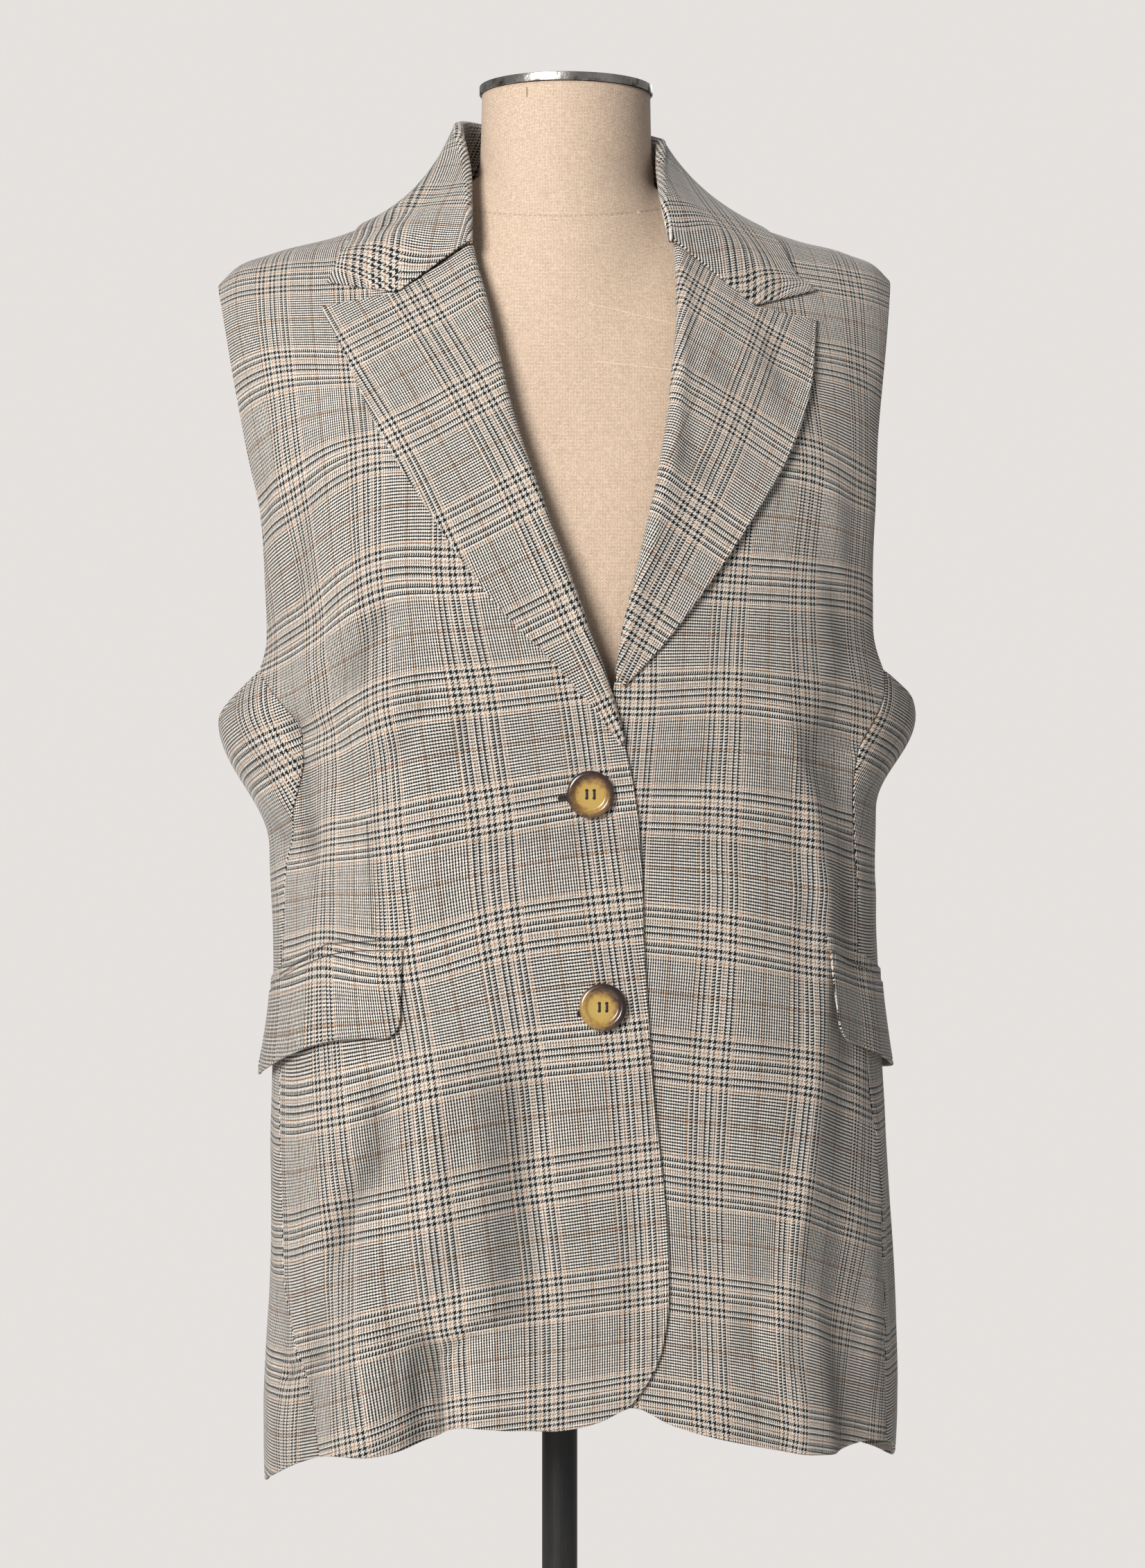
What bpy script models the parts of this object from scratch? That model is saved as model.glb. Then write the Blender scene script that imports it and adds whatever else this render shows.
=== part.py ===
"""Sleeveless two-button blazer on a limbless dress form stand.

Metres, +Z up, the garment's front towards -Y, floor at z = 0 under the centre of the round base.
"Left" and "right" are the viewer's, looking at the front. The garment is one smooth skin: rings of
section up to the chest, then rows that close over the shoulders. Every cloth piece is a wall cut
from that skin or laid on it.
"""

import math

import bmesh
import bpy
import numpy as np

# Cloth ------------------------------------------------------------------------------------------
CLOTH = 0.0018           # thickness of a panel
SEAM = 0.0003            # air between two pieces at a seam
LAID = 0.0007            # air under a piece that lies on a panel
UNDERLAP = 0.0028        # how far the under front lies behind the over front
UNDERLAP_ENDS = {"x": (0.072, 0.115), "height": (1.150, 1.200)}
SQUARE = 2.5             # squareness of the body's sections
CHEST = 1.152            # height at which the armholes start and the shoulders begin to close
RIDGE_Y = 0.004          # the shoulder seams lie in this plane
SHOULDER_POWER = 1.25    # spacing of rows towards the shoulder seam
FIRST_CLIMB = 0.26       # first guess of the height from chest to shoulder, then refined


def table(names, *rows):
    """Named columns of a short table; the first column is its key and rises."""
    return dict(zip(names.split(), np.array(rows, dtype=float).T))


RINGS = table(
    "height  left    right   front   back",
    (0.640, -0.1830, 0.2070, -0.134, 0.124),
    (0.700, -0.1840, 0.2100, -0.134, 0.124),
    (0.780, -0.1800, 0.2080, -0.131, 0.123),
    (0.860, -0.1795, 0.2030, -0.127, 0.119),
    (0.950, -0.1780, 0.1985, -0.121, 0.108),
    (1.030, -0.1800, 0.1965, -0.117, 0.099),
    (1.100, -0.1840, 0.1975, -0.119, 0.098),
    (1.152, -0.1870, 0.1995, -0.122, 0.101),
    (1.200, -0.1890, 0.2005, -0.124, 0.106),
    (1.250, -0.1930, 0.2040, -0.122, 0.111),
    (1.320, -0.2070, 0.2090, -0.117, 0.114),
    (1.393, -0.2240, 0.2170, -0.110, 0.113),
    (1.520, -0.2300, 0.2220, -0.104, 0.110),
)
SHOULDER = table(
    "across   height",
    (-0.240, 1.370),
    (-0.213, 1.393),
    (-0.203, 1.403),
    (-0.180, 1.412),
    (-0.143, 1.422),
    (-0.110, 1.433),
    (-0.075, 1.446),
    (-0.050, 1.464),
    (0.000, 1.492),
    (0.050, 1.464),
    (0.075, 1.446),
    (0.110, 1.433),
    (0.143, 1.422),
    (0.180, 1.412),
    (0.198, 1.404),
    (0.208, 1.394),
    (0.240, 1.370),
)
HEM = table(
    "turn  height",
    (-180, 0.682),
    (-150, 0.675),
    (-125, 0.660),
    (-105, 0.650),
    (-90, 0.648),
    (-75, 0.659),
    (-58, 0.679),
    (-41, 0.687),
    (-32, 0.700),
    (-15, 0.7015),
    (-3, 0.702),
    (5, 0.707),
    (12, 0.7145),
    (22, 0.7035),
    (40, 0.690),
    (50, 0.6835),
    (58, 0.682),
    (66, 0.685),
    (76, 0.679),
    (90, 0.663),
    (105, 0.660),
    (125, 0.665),
    (150, 0.676),
    (180, 0.682),
)
# The front edge of the over front (left) and the under front (right); above the buttons these are the
# roll lines, and tuck is how far the panel itself stops short of them, hidden under lapel and collar.
FRONT_EDGE = table(
    "height  over     under    tuck",
    (0.7100, 0.0370, 0.0220, 0.0000),
    (0.7145, 0.0410, 0.0160, 0.0000),
    (0.7260, 0.0500, 0.0070, 0.0000),
    (0.7400, 0.0580, 0.0000, 0.0000),
    (0.7630, 0.0635, -0.0040, 0.0000),
    (0.8050, 0.0645, -0.0045, 0.0000),
    (0.8975, 0.0565, -0.0045, 0.0000),
    (0.9900, 0.0505, -0.0040, 0.0000),
    (1.0360, 0.0490, -0.0030, 0.0000),
    (1.0700, 0.0460, 0.0020, 0.0000),
    (1.1010, 0.0400, 0.0150, 0.0000),
    (1.1330, 0.0320, 0.0300, 0.0004),
    (1.1750, 0.0174, 0.0385, 0.0010),
    (1.2400, -0.0060, 0.0535, 0.0012),
    (1.2960, -0.0245, 0.0650, 0.0012),
    (1.3460, -0.0370, 0.0690, 0.0012),
    (1.3900, -0.0480, 0.0700, 0.0020),
    (1.4210, -0.0560, 0.0690, 0.0045),
    (1.4480, -0.0700, 0.0720, 0.0020),
)
SIDE_SEAM = table(
    "height  left     right",
    (0.6400, -0.1380, 0.2000),
    (0.6900, -0.1460, 0.1990),
    (0.7226, -0.1530, 0.1985),
    (0.7610, -0.1650, 0.1980),
    (0.8200, -0.1690, 0.1950),
    (0.9000, -0.1710, 0.1890),
    (0.9700, -0.1700, 0.1840),
    (1.0300, -0.1660, 0.1820),
    (1.0780, -0.1590, 0.1800),
    (1.1000, -0.1570, 0.1810),
    (1.1200, -0.1600, 0.1860),
    (1.1350, -0.1680, 0.1900),
    (1.1520, -0.1790, 0.1930),
)
FRONT_ARMHOLE = table(
    "height  left     right",
    (1.1520, -0.1790, 0.1930),
    (1.2000, -0.1800, 0.1905),
    (1.2510, -0.1840, 0.1925),
    (1.2860, -0.1920, 0.1945),
    (1.3200, -0.1985, 0.1980),
    (1.3550, -0.2055, 0.2015),
    (1.3930, -0.2130, 0.2060),
)
BACK_SEAM = table(
    "height  left    right",
    (0.640, -121.0, 121.0),
    (0.850, -119.0, 119.0),
    (1.000, -115.0, 115.0),
    (1.100, -110.0, 110.0),
    (1.152, -106.0, 106.0),
)
BACK_ARMHOLE = table(
    "height  left     right",
    (1.1520, -0.1760, 0.1890),
    (1.2000, -0.1780, 0.1880),
    (1.2600, -0.1870, 0.1930),
    (1.3200, -0.2010, 0.1990),
    (1.3930, -0.2130, 0.2060),
)
ARMPIT = table(
    "share  left    right",
    (0.00, CHEST, CHEST),
    (0.25, 1.1350, 1.1410),
    (0.50, 1.1225, 1.1305),
    (0.75, 1.1290, 1.1340),
    (1.00, CHEST, CHEST),
)
# The largest folds: where each is deepest, how far it runs, how it leans and how far it stands out.
FOLDS = table(
    "turn  height spread  up     down   lean   out",
    (-91, 1.118, 34.0, 0.055, 0.075, 0.0, 0.0280),
    (91, 1.124, 30.0, 0.055, 0.058, 0.0, 0.0240),
    (-60, 1.098, 13.0, 0.060, 0.060, -60.0, -0.0060),
    (63, 1.100, 13.0, 0.050, 0.060, 60.0, -0.0050),
    (-37, 0.690, 9.0, 0.130, 0.200, 20.0, -0.0060),
    (-50, 0.700, 9.0, 0.140, 0.200, 10.0, 0.0050),
    (-22, 0.690, 9.0, 0.110, 0.200, -10.0, 0.0040),
    (52, 0.700, 8.0, 0.120, 0.200, -20.0, 0.0050),
    (63, 0.700, 8.0, 0.110, 0.200, 10.0, -0.0050),
    (30, 0.700, 11.0, 0.100, 0.200, 0.0, 0.0030),
    (-72, 0.745, 9.0, 0.050, 0.060, -40.0, -0.0040),
    (-150, 0.700, 13.0, 0.220, 0.200, 10.0, 0.0060),
    (172, 0.700, 12.0, 0.180, 0.200, -10.0, -0.0050),
    (140, 0.700, 14.0, 0.240, 0.200, 0.0, 0.0060),
    (-128, 1.090, 14.0, 0.070, 0.080, 40.0, -0.0050),
    (126, 1.090, 14.0, 0.070, 0.080, -40.0, -0.0050),
)
# Lapels: the outer edge, then the notch apex and tip of each.
LAPEL_EDGE = table(
    "height  over",
    (1.1045, 0.0365),
    (1.1147, 0.0290),
    (1.1330, 0.0150),
    (1.1566, -0.0060),
    (1.1795, -0.0294),
    (1.2070, -0.0520),
    (1.2490, -0.0803),
    (1.2865, -0.1040),
    (1.3450, -0.1310),
    (1.3715, -0.1446),
)
UNDER_LAPEL_EDGE = table(
    "height  under",
    (1.1390, 0.0385),
    (1.1610, 0.0590),
    (1.1975, 0.0865),
    (1.2400, 0.1145),
    (1.2810, 0.1375),
    (1.3240, 0.1510),
    (1.3380, 0.1530),
    (1.3640, 0.1560),
)
LAPELS = {
    "lapel_over": dict(
        start=1.108, gorge=(-0.0545, 1.4078), apex=(-0.0985, 1.3785), edge=(LAPEL_EDGE, "over"),
    ),
    "lapel_under": dict(
        start=1.1475, gorge=(0.0680, 1.4100), apex=(0.1180, 1.3700), edge=(UNDER_LAPEL_EDGE, "under"),
    ),
}
LAPEL_ROLL = 0.0030      # how far a lapel springs off the front at its roll line
# Collar: at each station from the left gorge round the back to the right one, the sewn seam and the
# outer edge as places on the skin, the fold, its lean towards the opening, and the middle of the fall.
COLLAR = table(
    "station seam_x  seam_over fold_x  fold_y  fold_z  lean  mid_x   mid_over mid_lift edge_x  edge_over",
    (-1.00, -0.0545, -0.379, -0.0535, -0.0730, 1.4084, 28.0, -0.0985, -0.415, 0.0000, -0.1410, -0.330),
    (-0.86, -0.0600, -0.290, -0.0545, -0.0600, 1.4320, 18.0, -0.0960, -0.275, 0.0040, -0.1360, -0.270),
    (-0.70, -0.0680, -0.160, -0.0565, -0.0330, 1.4600, 8.0, -0.0910, -0.180, 0.0050, -0.1300, -0.190),
    (-0.52, -0.0710, 0.010, -0.0625, -0.0020, 1.4900, 0.0, -0.0860, -0.020, 0.0110, -0.1180, -0.040),
    (-0.36, -0.0650, 0.060, -0.0600, 0.0290, 1.5000, 0.0, -0.0740, 0.112, 0.0170, -0.0940, 0.118),
    (-0.18, -0.0400, 0.232, -0.0400, 0.0545, 1.5030, 0.0, -0.0490, 0.222, 0.0190, -0.0570, 0.245),
    (0.00, 0.0000, 0.336, 0.0030, 0.0630, 1.5030, 0.0, 0.0010, 0.300, 0.0190, 0.0000, 0.368),
    (0.18, 0.0430, 0.228, 0.0430, 0.0545, 1.5010, 0.0, 0.0520, 0.222, 0.0190, 0.0590, 0.245),
    (0.36, 0.0670, 0.060, 0.0630, 0.0290, 1.4960, 0.0, 0.0770, 0.112, 0.0170, 0.0960, 0.118),
    (0.52, 0.0730, 0.010, 0.0640, -0.0020, 1.4860, 0.0, 0.0890, -0.020, 0.0110, 0.1200, -0.040),
    (0.70, 0.0720, -0.160, 0.0630, -0.0330, 1.4600, 8.0, 0.0960, -0.180, 0.0050, 0.1360, -0.200),
    (0.86, 0.0700, -0.230, 0.0650, -0.0560, 1.4330, 18.0, 0.1080, -0.290, 0.0040, 0.1450, -0.300),
    (1.00, 0.0680, -0.336, 0.0680, -0.0680, 1.4095, 28.0, 0.1180, -0.425, 0.0000, 0.1564, -0.335),
)
# Pockets: the line the flap hangs from, its depth, and how far its lower edge stands away.
POCKET_LINE = table(
    "turn  height",
    (-88, 0.950),
    (-75, 0.961),
    (-65, 0.972),
    (-58, 0.979),
    (-42.5, 0.983),
    (59.5, 0.982),
    (70, 0.971),
    (80, 0.962),
    (95, 0.956),
    (110, 0.952),
)
POCKETS = {
    "left": dict(inner=-42.5, outer=-86.0, stand=0.0065, gape=0.0015),
    "right": dict(inner=59.5, outer=108.0, stand=0.0060, gape=0.0060),
}
NECK_HALF = 0.070        # half width of the back's neckline
NECK_DROP = 0.42         # how far it stops short of the shoulder line at its middle
NECK_U = 0.284           # share of the back's width at which the neckline starts
COLLAR_ROLL = 0.0035     # radius of the collar's fold at the back
GORGE_ROLL = 0.0020      # and at its two ends, where it lies flat
STAND_LIFT = 0.0030      # the stand's lower edge sits this far above the skin
GORGE_TAIL = 0.0012      # what is left of the stand at the two ends
STAND_END = 0.25         # share of the collar's profile that is stand, then fold, then fall
FALL_START = 0.50
FLAP_DEPTH = 0.052
FLAP_CORNER = 0.011
FLAP_CLOTH = 0.0020
METRES_PER_TURN = 0.0033  # length along the skin of one degree, at the pockets
JET_HEIGHT = 0.0075
JET_CLOTH = 0.0010
JET_LIFT = 0.0006

# Buttons ----------------------------------------------------------------------------------------
BUTTON_RADIUS = 0.014
BUTTON_THICK = 0.0042
BUTTONS = {"button_upper": (0.0186, 1.076), "button_lower": (0.0260, 0.950)}
HOLE_RADIUS = 0.0011
HOLE_SPREAD = 0.0020      # from the button's middle lines to each hole

# Dress form and stand ---------------------------------------------------------------------------
FORM = table(
    "height  half    front   back",
    (0.760, 0.158, -0.104, 0.100),
    (0.850, 0.160, -0.102, 0.098),
    (0.960, 0.146, -0.092, 0.082),
    (1.050, 0.142, -0.090, 0.076),
    (1.150, 0.156, -0.104, 0.083),
    (1.230, 0.166, -0.107, 0.092),
    (1.300, 0.176, -0.101, 0.096),
    (1.360, 0.186, -0.096, 0.096),
    (1.420, 0.184, -0.092, 0.094),
    (1.520, 0.182, -0.088, 0.092),
)
NECK = table(
    "height  radius",
    (1.395, 0.0640),
    (1.420, 0.0610),
    (1.440, 0.0575),
    (1.460, 0.0545),
    (1.480, 0.0532),
    (1.511, 0.0525),
)
FORM_BOTTOM = 0.760
FORM_TOP = 1.511
FORM_GAP = 0.0016        # air between the form's shoulders and the cloth that rests on them
NECK_X = 0.004
CAP_RADIUS = 0.054
CAP_THICK = 0.0052
POLE_RADIUS = 0.011
BASE_RADIUS = 0.150
BASE_THICK = 0.012
FLANGE_RADIUS = 0.035
FLANGE_THICK = 0.006
FLANGE_DEEP = 0.040
SOCKET_RADIUS = 0.015    # where the pole is held, above and below
SOCKET_HEIGHT = 0.028

COLOURS = {
    "cloth": (0.36, 0.33, 0.30),
    "linen": (0.56, 0.44, 0.34),
    "horn": (0.30, 0.20, 0.06),
    "chrome": (0.62, 0.61, 0.59),
    "black": (0.02, 0.02, 0.022),
}
FINISH = {
    "cloth": (0.9, 0.0),
    "linen": (0.85, 0.0),
    "horn": (0.25, 0.0),
    "chrome": (0.2, 1.0),
    "black": (0.4, 0.3),
}


# Working out the skin ---------------------------------------------------------------------------
def smooth(rows, name, at):
    """Smooth value of a table's column, held at its ends."""
    keys = next(iter(rows.values()))
    values = rows[name]
    slopes = np.gradient(values, keys)
    at = np.clip(at, keys[0], keys[-1])
    low = np.clip(np.searchsorted(keys, at, side="right") - 1, 0, len(keys) - 2)
    span = keys[low + 1] - keys[low]
    t = (at - keys[low]) / span
    rise = t * t * (3 - 2 * t)
    start = slopes[low] * span * t * (1 - t) ** 2
    end = slopes[low + 1] * span * t * t * (t - 1)
    return values[low] * (1 - rise) + values[low + 1] * rise + start + end


def ramp(value, start, end):
    """0 before start, 1 after end, soft between."""
    t = np.clip((value - start) / (end - start), 0, 1)
    return t * t * (3 - 2 * t)


def unit(vectors):
    return vectors / np.linalg.norm(vectors, axis=-1, keepdims=True)


def ring(z):
    """Middle, half width, and depth ahead of and behind the shoulder plane at a height."""
    left = smooth(RINGS, "left", z)
    right = smooth(RINGS, "right", z)
    ahead = RIDGE_Y - smooth(RINGS, "front", z)
    behind = smooth(RINGS, "back", z) - RIDGE_Y
    return (left + right) / 2, (right - left) / 2, ahead, behind


def fold_out(turn, z):
    """How far the folds push the skin out at a turn and height."""
    out = np.zeros(np.broadcast(turn, z).shape)
    for k in range(len(FOLDS["turn"])):
        f = {name: values[k] for name, values in FOLDS.items()}
        above = z - f["height"]
        away = (turn - f["turn"] - f["lean"] * above + 180) % 360 - 180
        along = np.abs(above) / np.where(above > 0, f["up"], f["down"])
        shape = np.cos(np.clip(np.abs(away) / f["spread"], 0, 1) * np.pi / 2) ** 2
        out = out + f["out"] * shape * np.cos(np.clip(along, 0, 1) * np.pi / 2) ** 2
    return out


def turn_at(x, z, back=False):
    """The turn in degrees from centre front (right is positive) at which the skin has this x."""
    middle, half, ahead, behind = ring(z)
    share = np.clip(np.abs(x - middle) / half, 0, 0.9995)
    reach = (1 - share ** SQUARE) ** (1 / SQUARE)
    return np.degrees(np.arctan2(x - middle, -behind * reach if back else ahead * reach))


def skin(turn, z, close=None):
    """Outer skin at a turn and height. close is the share of depth left by the shoulder's rounding."""
    middle, half, ahead, behind = ring(z)
    across = np.sin(np.radians(turn))
    along = np.cos(np.radians(turn))
    depth = np.where(along > 0, ahead, behind)
    reach = (np.abs(across / half) ** SQUARE + np.abs(along / depth) ** SQUARE) ** (-1 / SQUARE)
    x = middle + reach * across
    if close is None:
        part = np.clip((z - CHEST) / (smooth(SHOULDER, "height", x) - CHEST), 0, 1)
        close = (1 - part ** 2) ** (1 / SQUARE)
    out = fold_out(turn, z)
    y = RIDGE_Y - reach * along * close
    return np.stack([x + out * across, y - out * along, z + 0 * x], axis=-1)


def over_shoulder(x, over):
    """Skin at an x near the shoulder; over is -1 on the front chest, 0 on the seam, 1 behind."""
    angle = np.abs(over) * np.pi / 2
    z = CHEST + (smooth(SHOULDER, "height", x) - CHEST) * np.cos(angle)
    turn = np.where(over < 0, turn_at(x, z), turn_at(x, z, back=True))
    return skin(turn, z, np.sin(angle) ** (2 / SQUARE))


def rounded(rise):
    """Part of the way up to the shoulder seam, and depth left, at rise 0 to 1 (mirrored past 1)."""
    left = 1 - rise
    angle = np.pi / 2 * (1 - np.sign(left) * np.abs(left) ** SHOULDER_POWER)
    bend = np.cos(angle)
    return np.sin(angle), np.sign(bend) * np.abs(bend) ** (2 / SQUARE)


def climb(x_of, part):
    """Height and x of an edge that is x_of(height), at a part of the way from chest to shoulder."""
    z = CHEST + FIRST_CLIMB * part
    for _ in range(12):
        x = x_of(z)
        z = CHEST + (smooth(SHOULDER, "height", x) - CHEST) * part
    return z, x


def panel(u, s, edge_a, edge_b, arm_a, arm_b, back=False, top=None, neck=None):
    """Skin of a panel: u runs from edge a to edge b, s from hem (0) to chest (1) to shoulder (2).

    edge_a and edge_b give the turn at a height below the chest, arm_a and arm_b the x above it.
    top names the armpit's side for a panel that ends there, neck how far each x rises.
    """
    low_s = np.clip(s, -1, 1)
    turns = []
    for edge in (edge_a, edge_b):
        base = 0.70
        for _ in range(6):
            base = smooth(HEM, "height", wrap(edge(base)))
        turns.append((base, edge))
    hem_turn = turns[0][1](turns[0][0]) * (1 - u) + turns[1][1](turns[1][0]) * u
    hem = smooth(HEM, "height", wrap(hem_turn))
    side_turn = [edge(base + (CHEST - base) * low_s) for base, edge in turns]
    turn = side_turn[0] * (1 - u) + side_turn[1] * u
    reach = smooth(ARMPIT, top, u) if top else CHEST
    lower = skin(turn, hem + (reach - hem) * s)
    if top:
        return lower
    rise = np.clip(s - 1, 0, 1.5)
    for _ in range(2):
        part, close = rounded(rise)
        z_a, x_a = climb(arm_a, part)
        z_b, x_b = climb(arm_b, part)
        turn_a, turn_b = turn_at(x_a, z_a, back), turn_at(x_b, z_b, back)
        if back:
            turn_b = turn_b - 360
        turn = turn_a * (1 - u) + turn_b * u
        z = CHEST + FIRST_CLIMB * part
        for _ in range(12):
            x = skin(turn, z, close)[..., 0]
            z = CHEST + (smooth(SHOULDER, "height", x) - CHEST) * part
        if neck is None:
            break
        rise = np.clip(s - 1, 0, 1.5) * neck(x)
    upper = skin(turn, z, close)
    return np.where((s > 1)[..., None], upper, lower)


def wrap(turn):
    return (turn + 180) % 360 - 180


# Building walls ---------------------------------------------------------------------------------
collection = None


def material(kind):
    made = bpy.data.materials.get(kind) or bpy.data.materials.new(kind)
    made.use_nodes = True
    shader = made.node_tree.nodes["Principled BSDF"]
    shader.inputs["Base Color"].default_value = (*COLOURS[kind], 1)
    shader.inputs["Roughness"].default_value = FINISH[kind][0]
    shader.inputs["Metallic"].default_value = FINISH[kind][1]
    return made


def add(name, mesh, kind):
    thing = bpy.data.objects.new(name, mesh)
    mesh.materials.append(material(kind))
    collection.objects.link(thing)
    return thing


def frame_of(place, u, s, step=0.0015):
    """Points of a surface and its unit normals, from the surface just around each point."""
    along_u = place(u + step, s) - place(u - step, s)
    along_s = place(u, s + step) - place(u, s - step)
    return place(u, s), unit(np.cross(along_u, along_s))


def wall(name, under, over, kind="cloth"):
    """A closed wall between two grids of points of the same size."""
    mesh = bpy.data.meshes.new(name)
    bm = bmesh.new()
    rows, columns = under.shape[:2]
    layers = [[[bm.verts.new(point) for point in row] for row in layer] for layer in (under, over)]
    for layer in layers:
        for j in range(rows - 1):
            for i in range(columns - 1):
                bm.faces.new((layer[j][i], layer[j][i + 1], layer[j + 1][i + 1], layer[j + 1][i]))
    border = [(0, i) for i in range(columns)]
    border += [(j, columns - 1) for j in range(1, rows)]
    border += [(rows - 1, i) for i in range(columns - 2, -1, -1)]
    border += [(j, 0) for j in range(rows - 2, 0, -1)]
    for (j, i), (n, m) in zip(border, border[1:] + border[:1]):
        bm.faces.new((layers[0][j][i], layers[0][n][m], layers[1][n][m], layers[1][j][i]))
    bmesh.ops.recalc_face_normals(bm, faces=bm.faces)
    bm.to_mesh(mesh)
    bm.free()
    mesh.shade_smooth()
    mesh.set_sharp_from_angle(angle=math.radians(40))
    return add(name, mesh, kind)


def grid(first, second):
    return np.meshgrid(first, second)


def cloth(name, place, u, s, lift=None, thick=CLOTH):
    """A piece of cloth: a panel (its outer side on the skin) or a piece laid lift above the skin."""
    across, up = grid(u, s)
    points, normal = frame_of(place, across, up)
    facing = np.sum(normal * (points - np.array([0, 0, 1.1])) * np.array([1, 1, 0.3]), axis=-1)
    normal *= np.sign(np.median(facing))
    raised = -thick if lift is None else lift(across, up, points)
    raised = np.broadcast_to(raised, across.shape)[..., None]
    return wall(name, points + normal * raised, points + normal * (raised + thick))


# The garment ------------------------------------------------------------------------------------
SEAM_TURN = math.degrees(SEAM / 2 / 0.13)   # half a seam's air, as a turn
LOWER_ROWS = np.linspace(0, 1, 17)
UPPER_ROWS = 1 + np.linspace(0, 1, 12)[1:]
ALL_ROWS = np.concatenate([LOWER_ROWS, UPPER_ROWS])
SEAM_ROW = 0.002


def front_edge(edge):
    """x of a front's own edge at a height: its roll line, less the tuck under lapel and collar."""
    hand = -1 if edge == "over" else 1
    return lambda z: smooth(FRONT_EDGE, edge, z) + hand * smooth(FRONT_EDGE, "tuck", z)


def side_seam(side):
    shift = SEAM_TURN if side == "left" else -SEAM_TURN
    return lambda z: turn_at(smooth(SIDE_SEAM, side, z), z) + shift


def front(name, side, edge):
    """A front: hem to shoulder, from its front edge and roll line to the side seam and armhole."""
    edge_x = front_edge(edge)

    def place(u, s):
        return panel(
            u, s, lambda z: turn_at(edge_x(z), z), side_seam(side),
            edge_x, lambda z: smooth(FRONT_ARMHOLE, side, z),
        )

    rows = ALL_ROWS.copy()
    rows[-1] -= SEAM_ROW
    return cloth(name, place, np.linspace(0, 1, 15), rows, lambda u, s, points: -CLOTH - sunk(points, edge))


def side(name, which):
    """A side panel: hem to the bottom of the armhole, which flares out."""
    hand = -1 if which == "left" else 1
    seam = side_seam(which)

    def place(u, s):
        return panel(
            u, s,
            lambda z: seam(z) + hand * 2 * SEAM_TURN,
            lambda z: smooth(BACK_SEAM, which, z) - hand * SEAM_TURN,
            None, None, top=which,
        )

    return cloth(name, place, np.linspace(0, 1, 10), LOWER_ROWS)


def back():
    """The back: one plain panel, with a shallow neckline between the shoulder seams."""
    def neck(x):
        inside = np.clip(1 - (x / NECK_HALF) ** 2, 0, 1)
        return 1 - NECK_DROP * inside ** 0.7

    def place(u, s):
        return panel(
            u, s,
            lambda z: smooth(BACK_SEAM, "left", z) - SEAM_TURN,
            lambda z: smooth(BACK_SEAM, "right", z) + SEAM_TURN - 360,
            lambda z: smooth(BACK_ARMHOLE, "left", z),
            lambda z: smooth(BACK_ARMHOLE, "right", z),
            back=True, neck=neck,
        )

    rows = ALL_ROWS.copy()
    rows[-1] -= SEAM_ROW
    closer_at_corners = (1 - np.cos(np.linspace(0, np.pi, 11))) / 2
    neck_columns = NECK_U + (1 - 2 * NECK_U) * closer_at_corners
    sleeve_columns = np.linspace(0, NECK_U, 6)[:-1]
    columns = np.concatenate([sleeve_columns, neck_columns, 1 - sleeve_columns[::-1]])
    return cloth("back", place, columns, rows)


def at_xz(x, z):
    return skin(turn_at(x, z), z)


def lapel(name, start, gorge, apex, edge):
    """A lapel: the front's facing turned back along the roll line, up to the gorge and notch."""
    rows, column = edge
    low, tip = rows["height"][0], rows["height"][-1]

    def outline(u, t):
        roll_z = start + (gorge[1] - start) * t
        edge_z = low + (tip - low) * t
        roll_x = smooth(FRONT_EDGE, column, roll_z)
        edge_x = smooth(rows, column, edge_z)
        x = roll_x * (1 - u) + edge_x * u
        z = roll_z * (1 - u) + edge_z * u
        bow = 1 - np.abs(2 * u - 1)
        pull = np.clip(t, 0, 2) ** 5 * bow
        tip_x = smooth(rows, column, tip)
        middle = ((gorge[0] + tip_x) / 2, (gorge[1] + tip) / 2)
        return x + pull * (apex[0] - middle[0]), z + pull * (apex[1] - middle[1])

    def lift(u, t, points):
        return LAID + LAPEL_ROLL * (1 - u) ** 4 - sunk(points, column)

    def place(u, t):
        return at_xz(*outline(u, t))

    return cloth(name, place, np.linspace(0, 1, 11), np.linspace(0, 0.996, 19), lift)


def sunk(points, column):
    """How far the under front lies behind the skin at these points."""
    if column == "over":
        return 0
    beside = ramp(points[..., 0], *UNDERLAP_ENDS["x"])
    above = ramp(points[..., 2], *UNDERLAP_ENDS["height"])
    return UNDERLAP * (1 - beside) * (1 - above)


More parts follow.
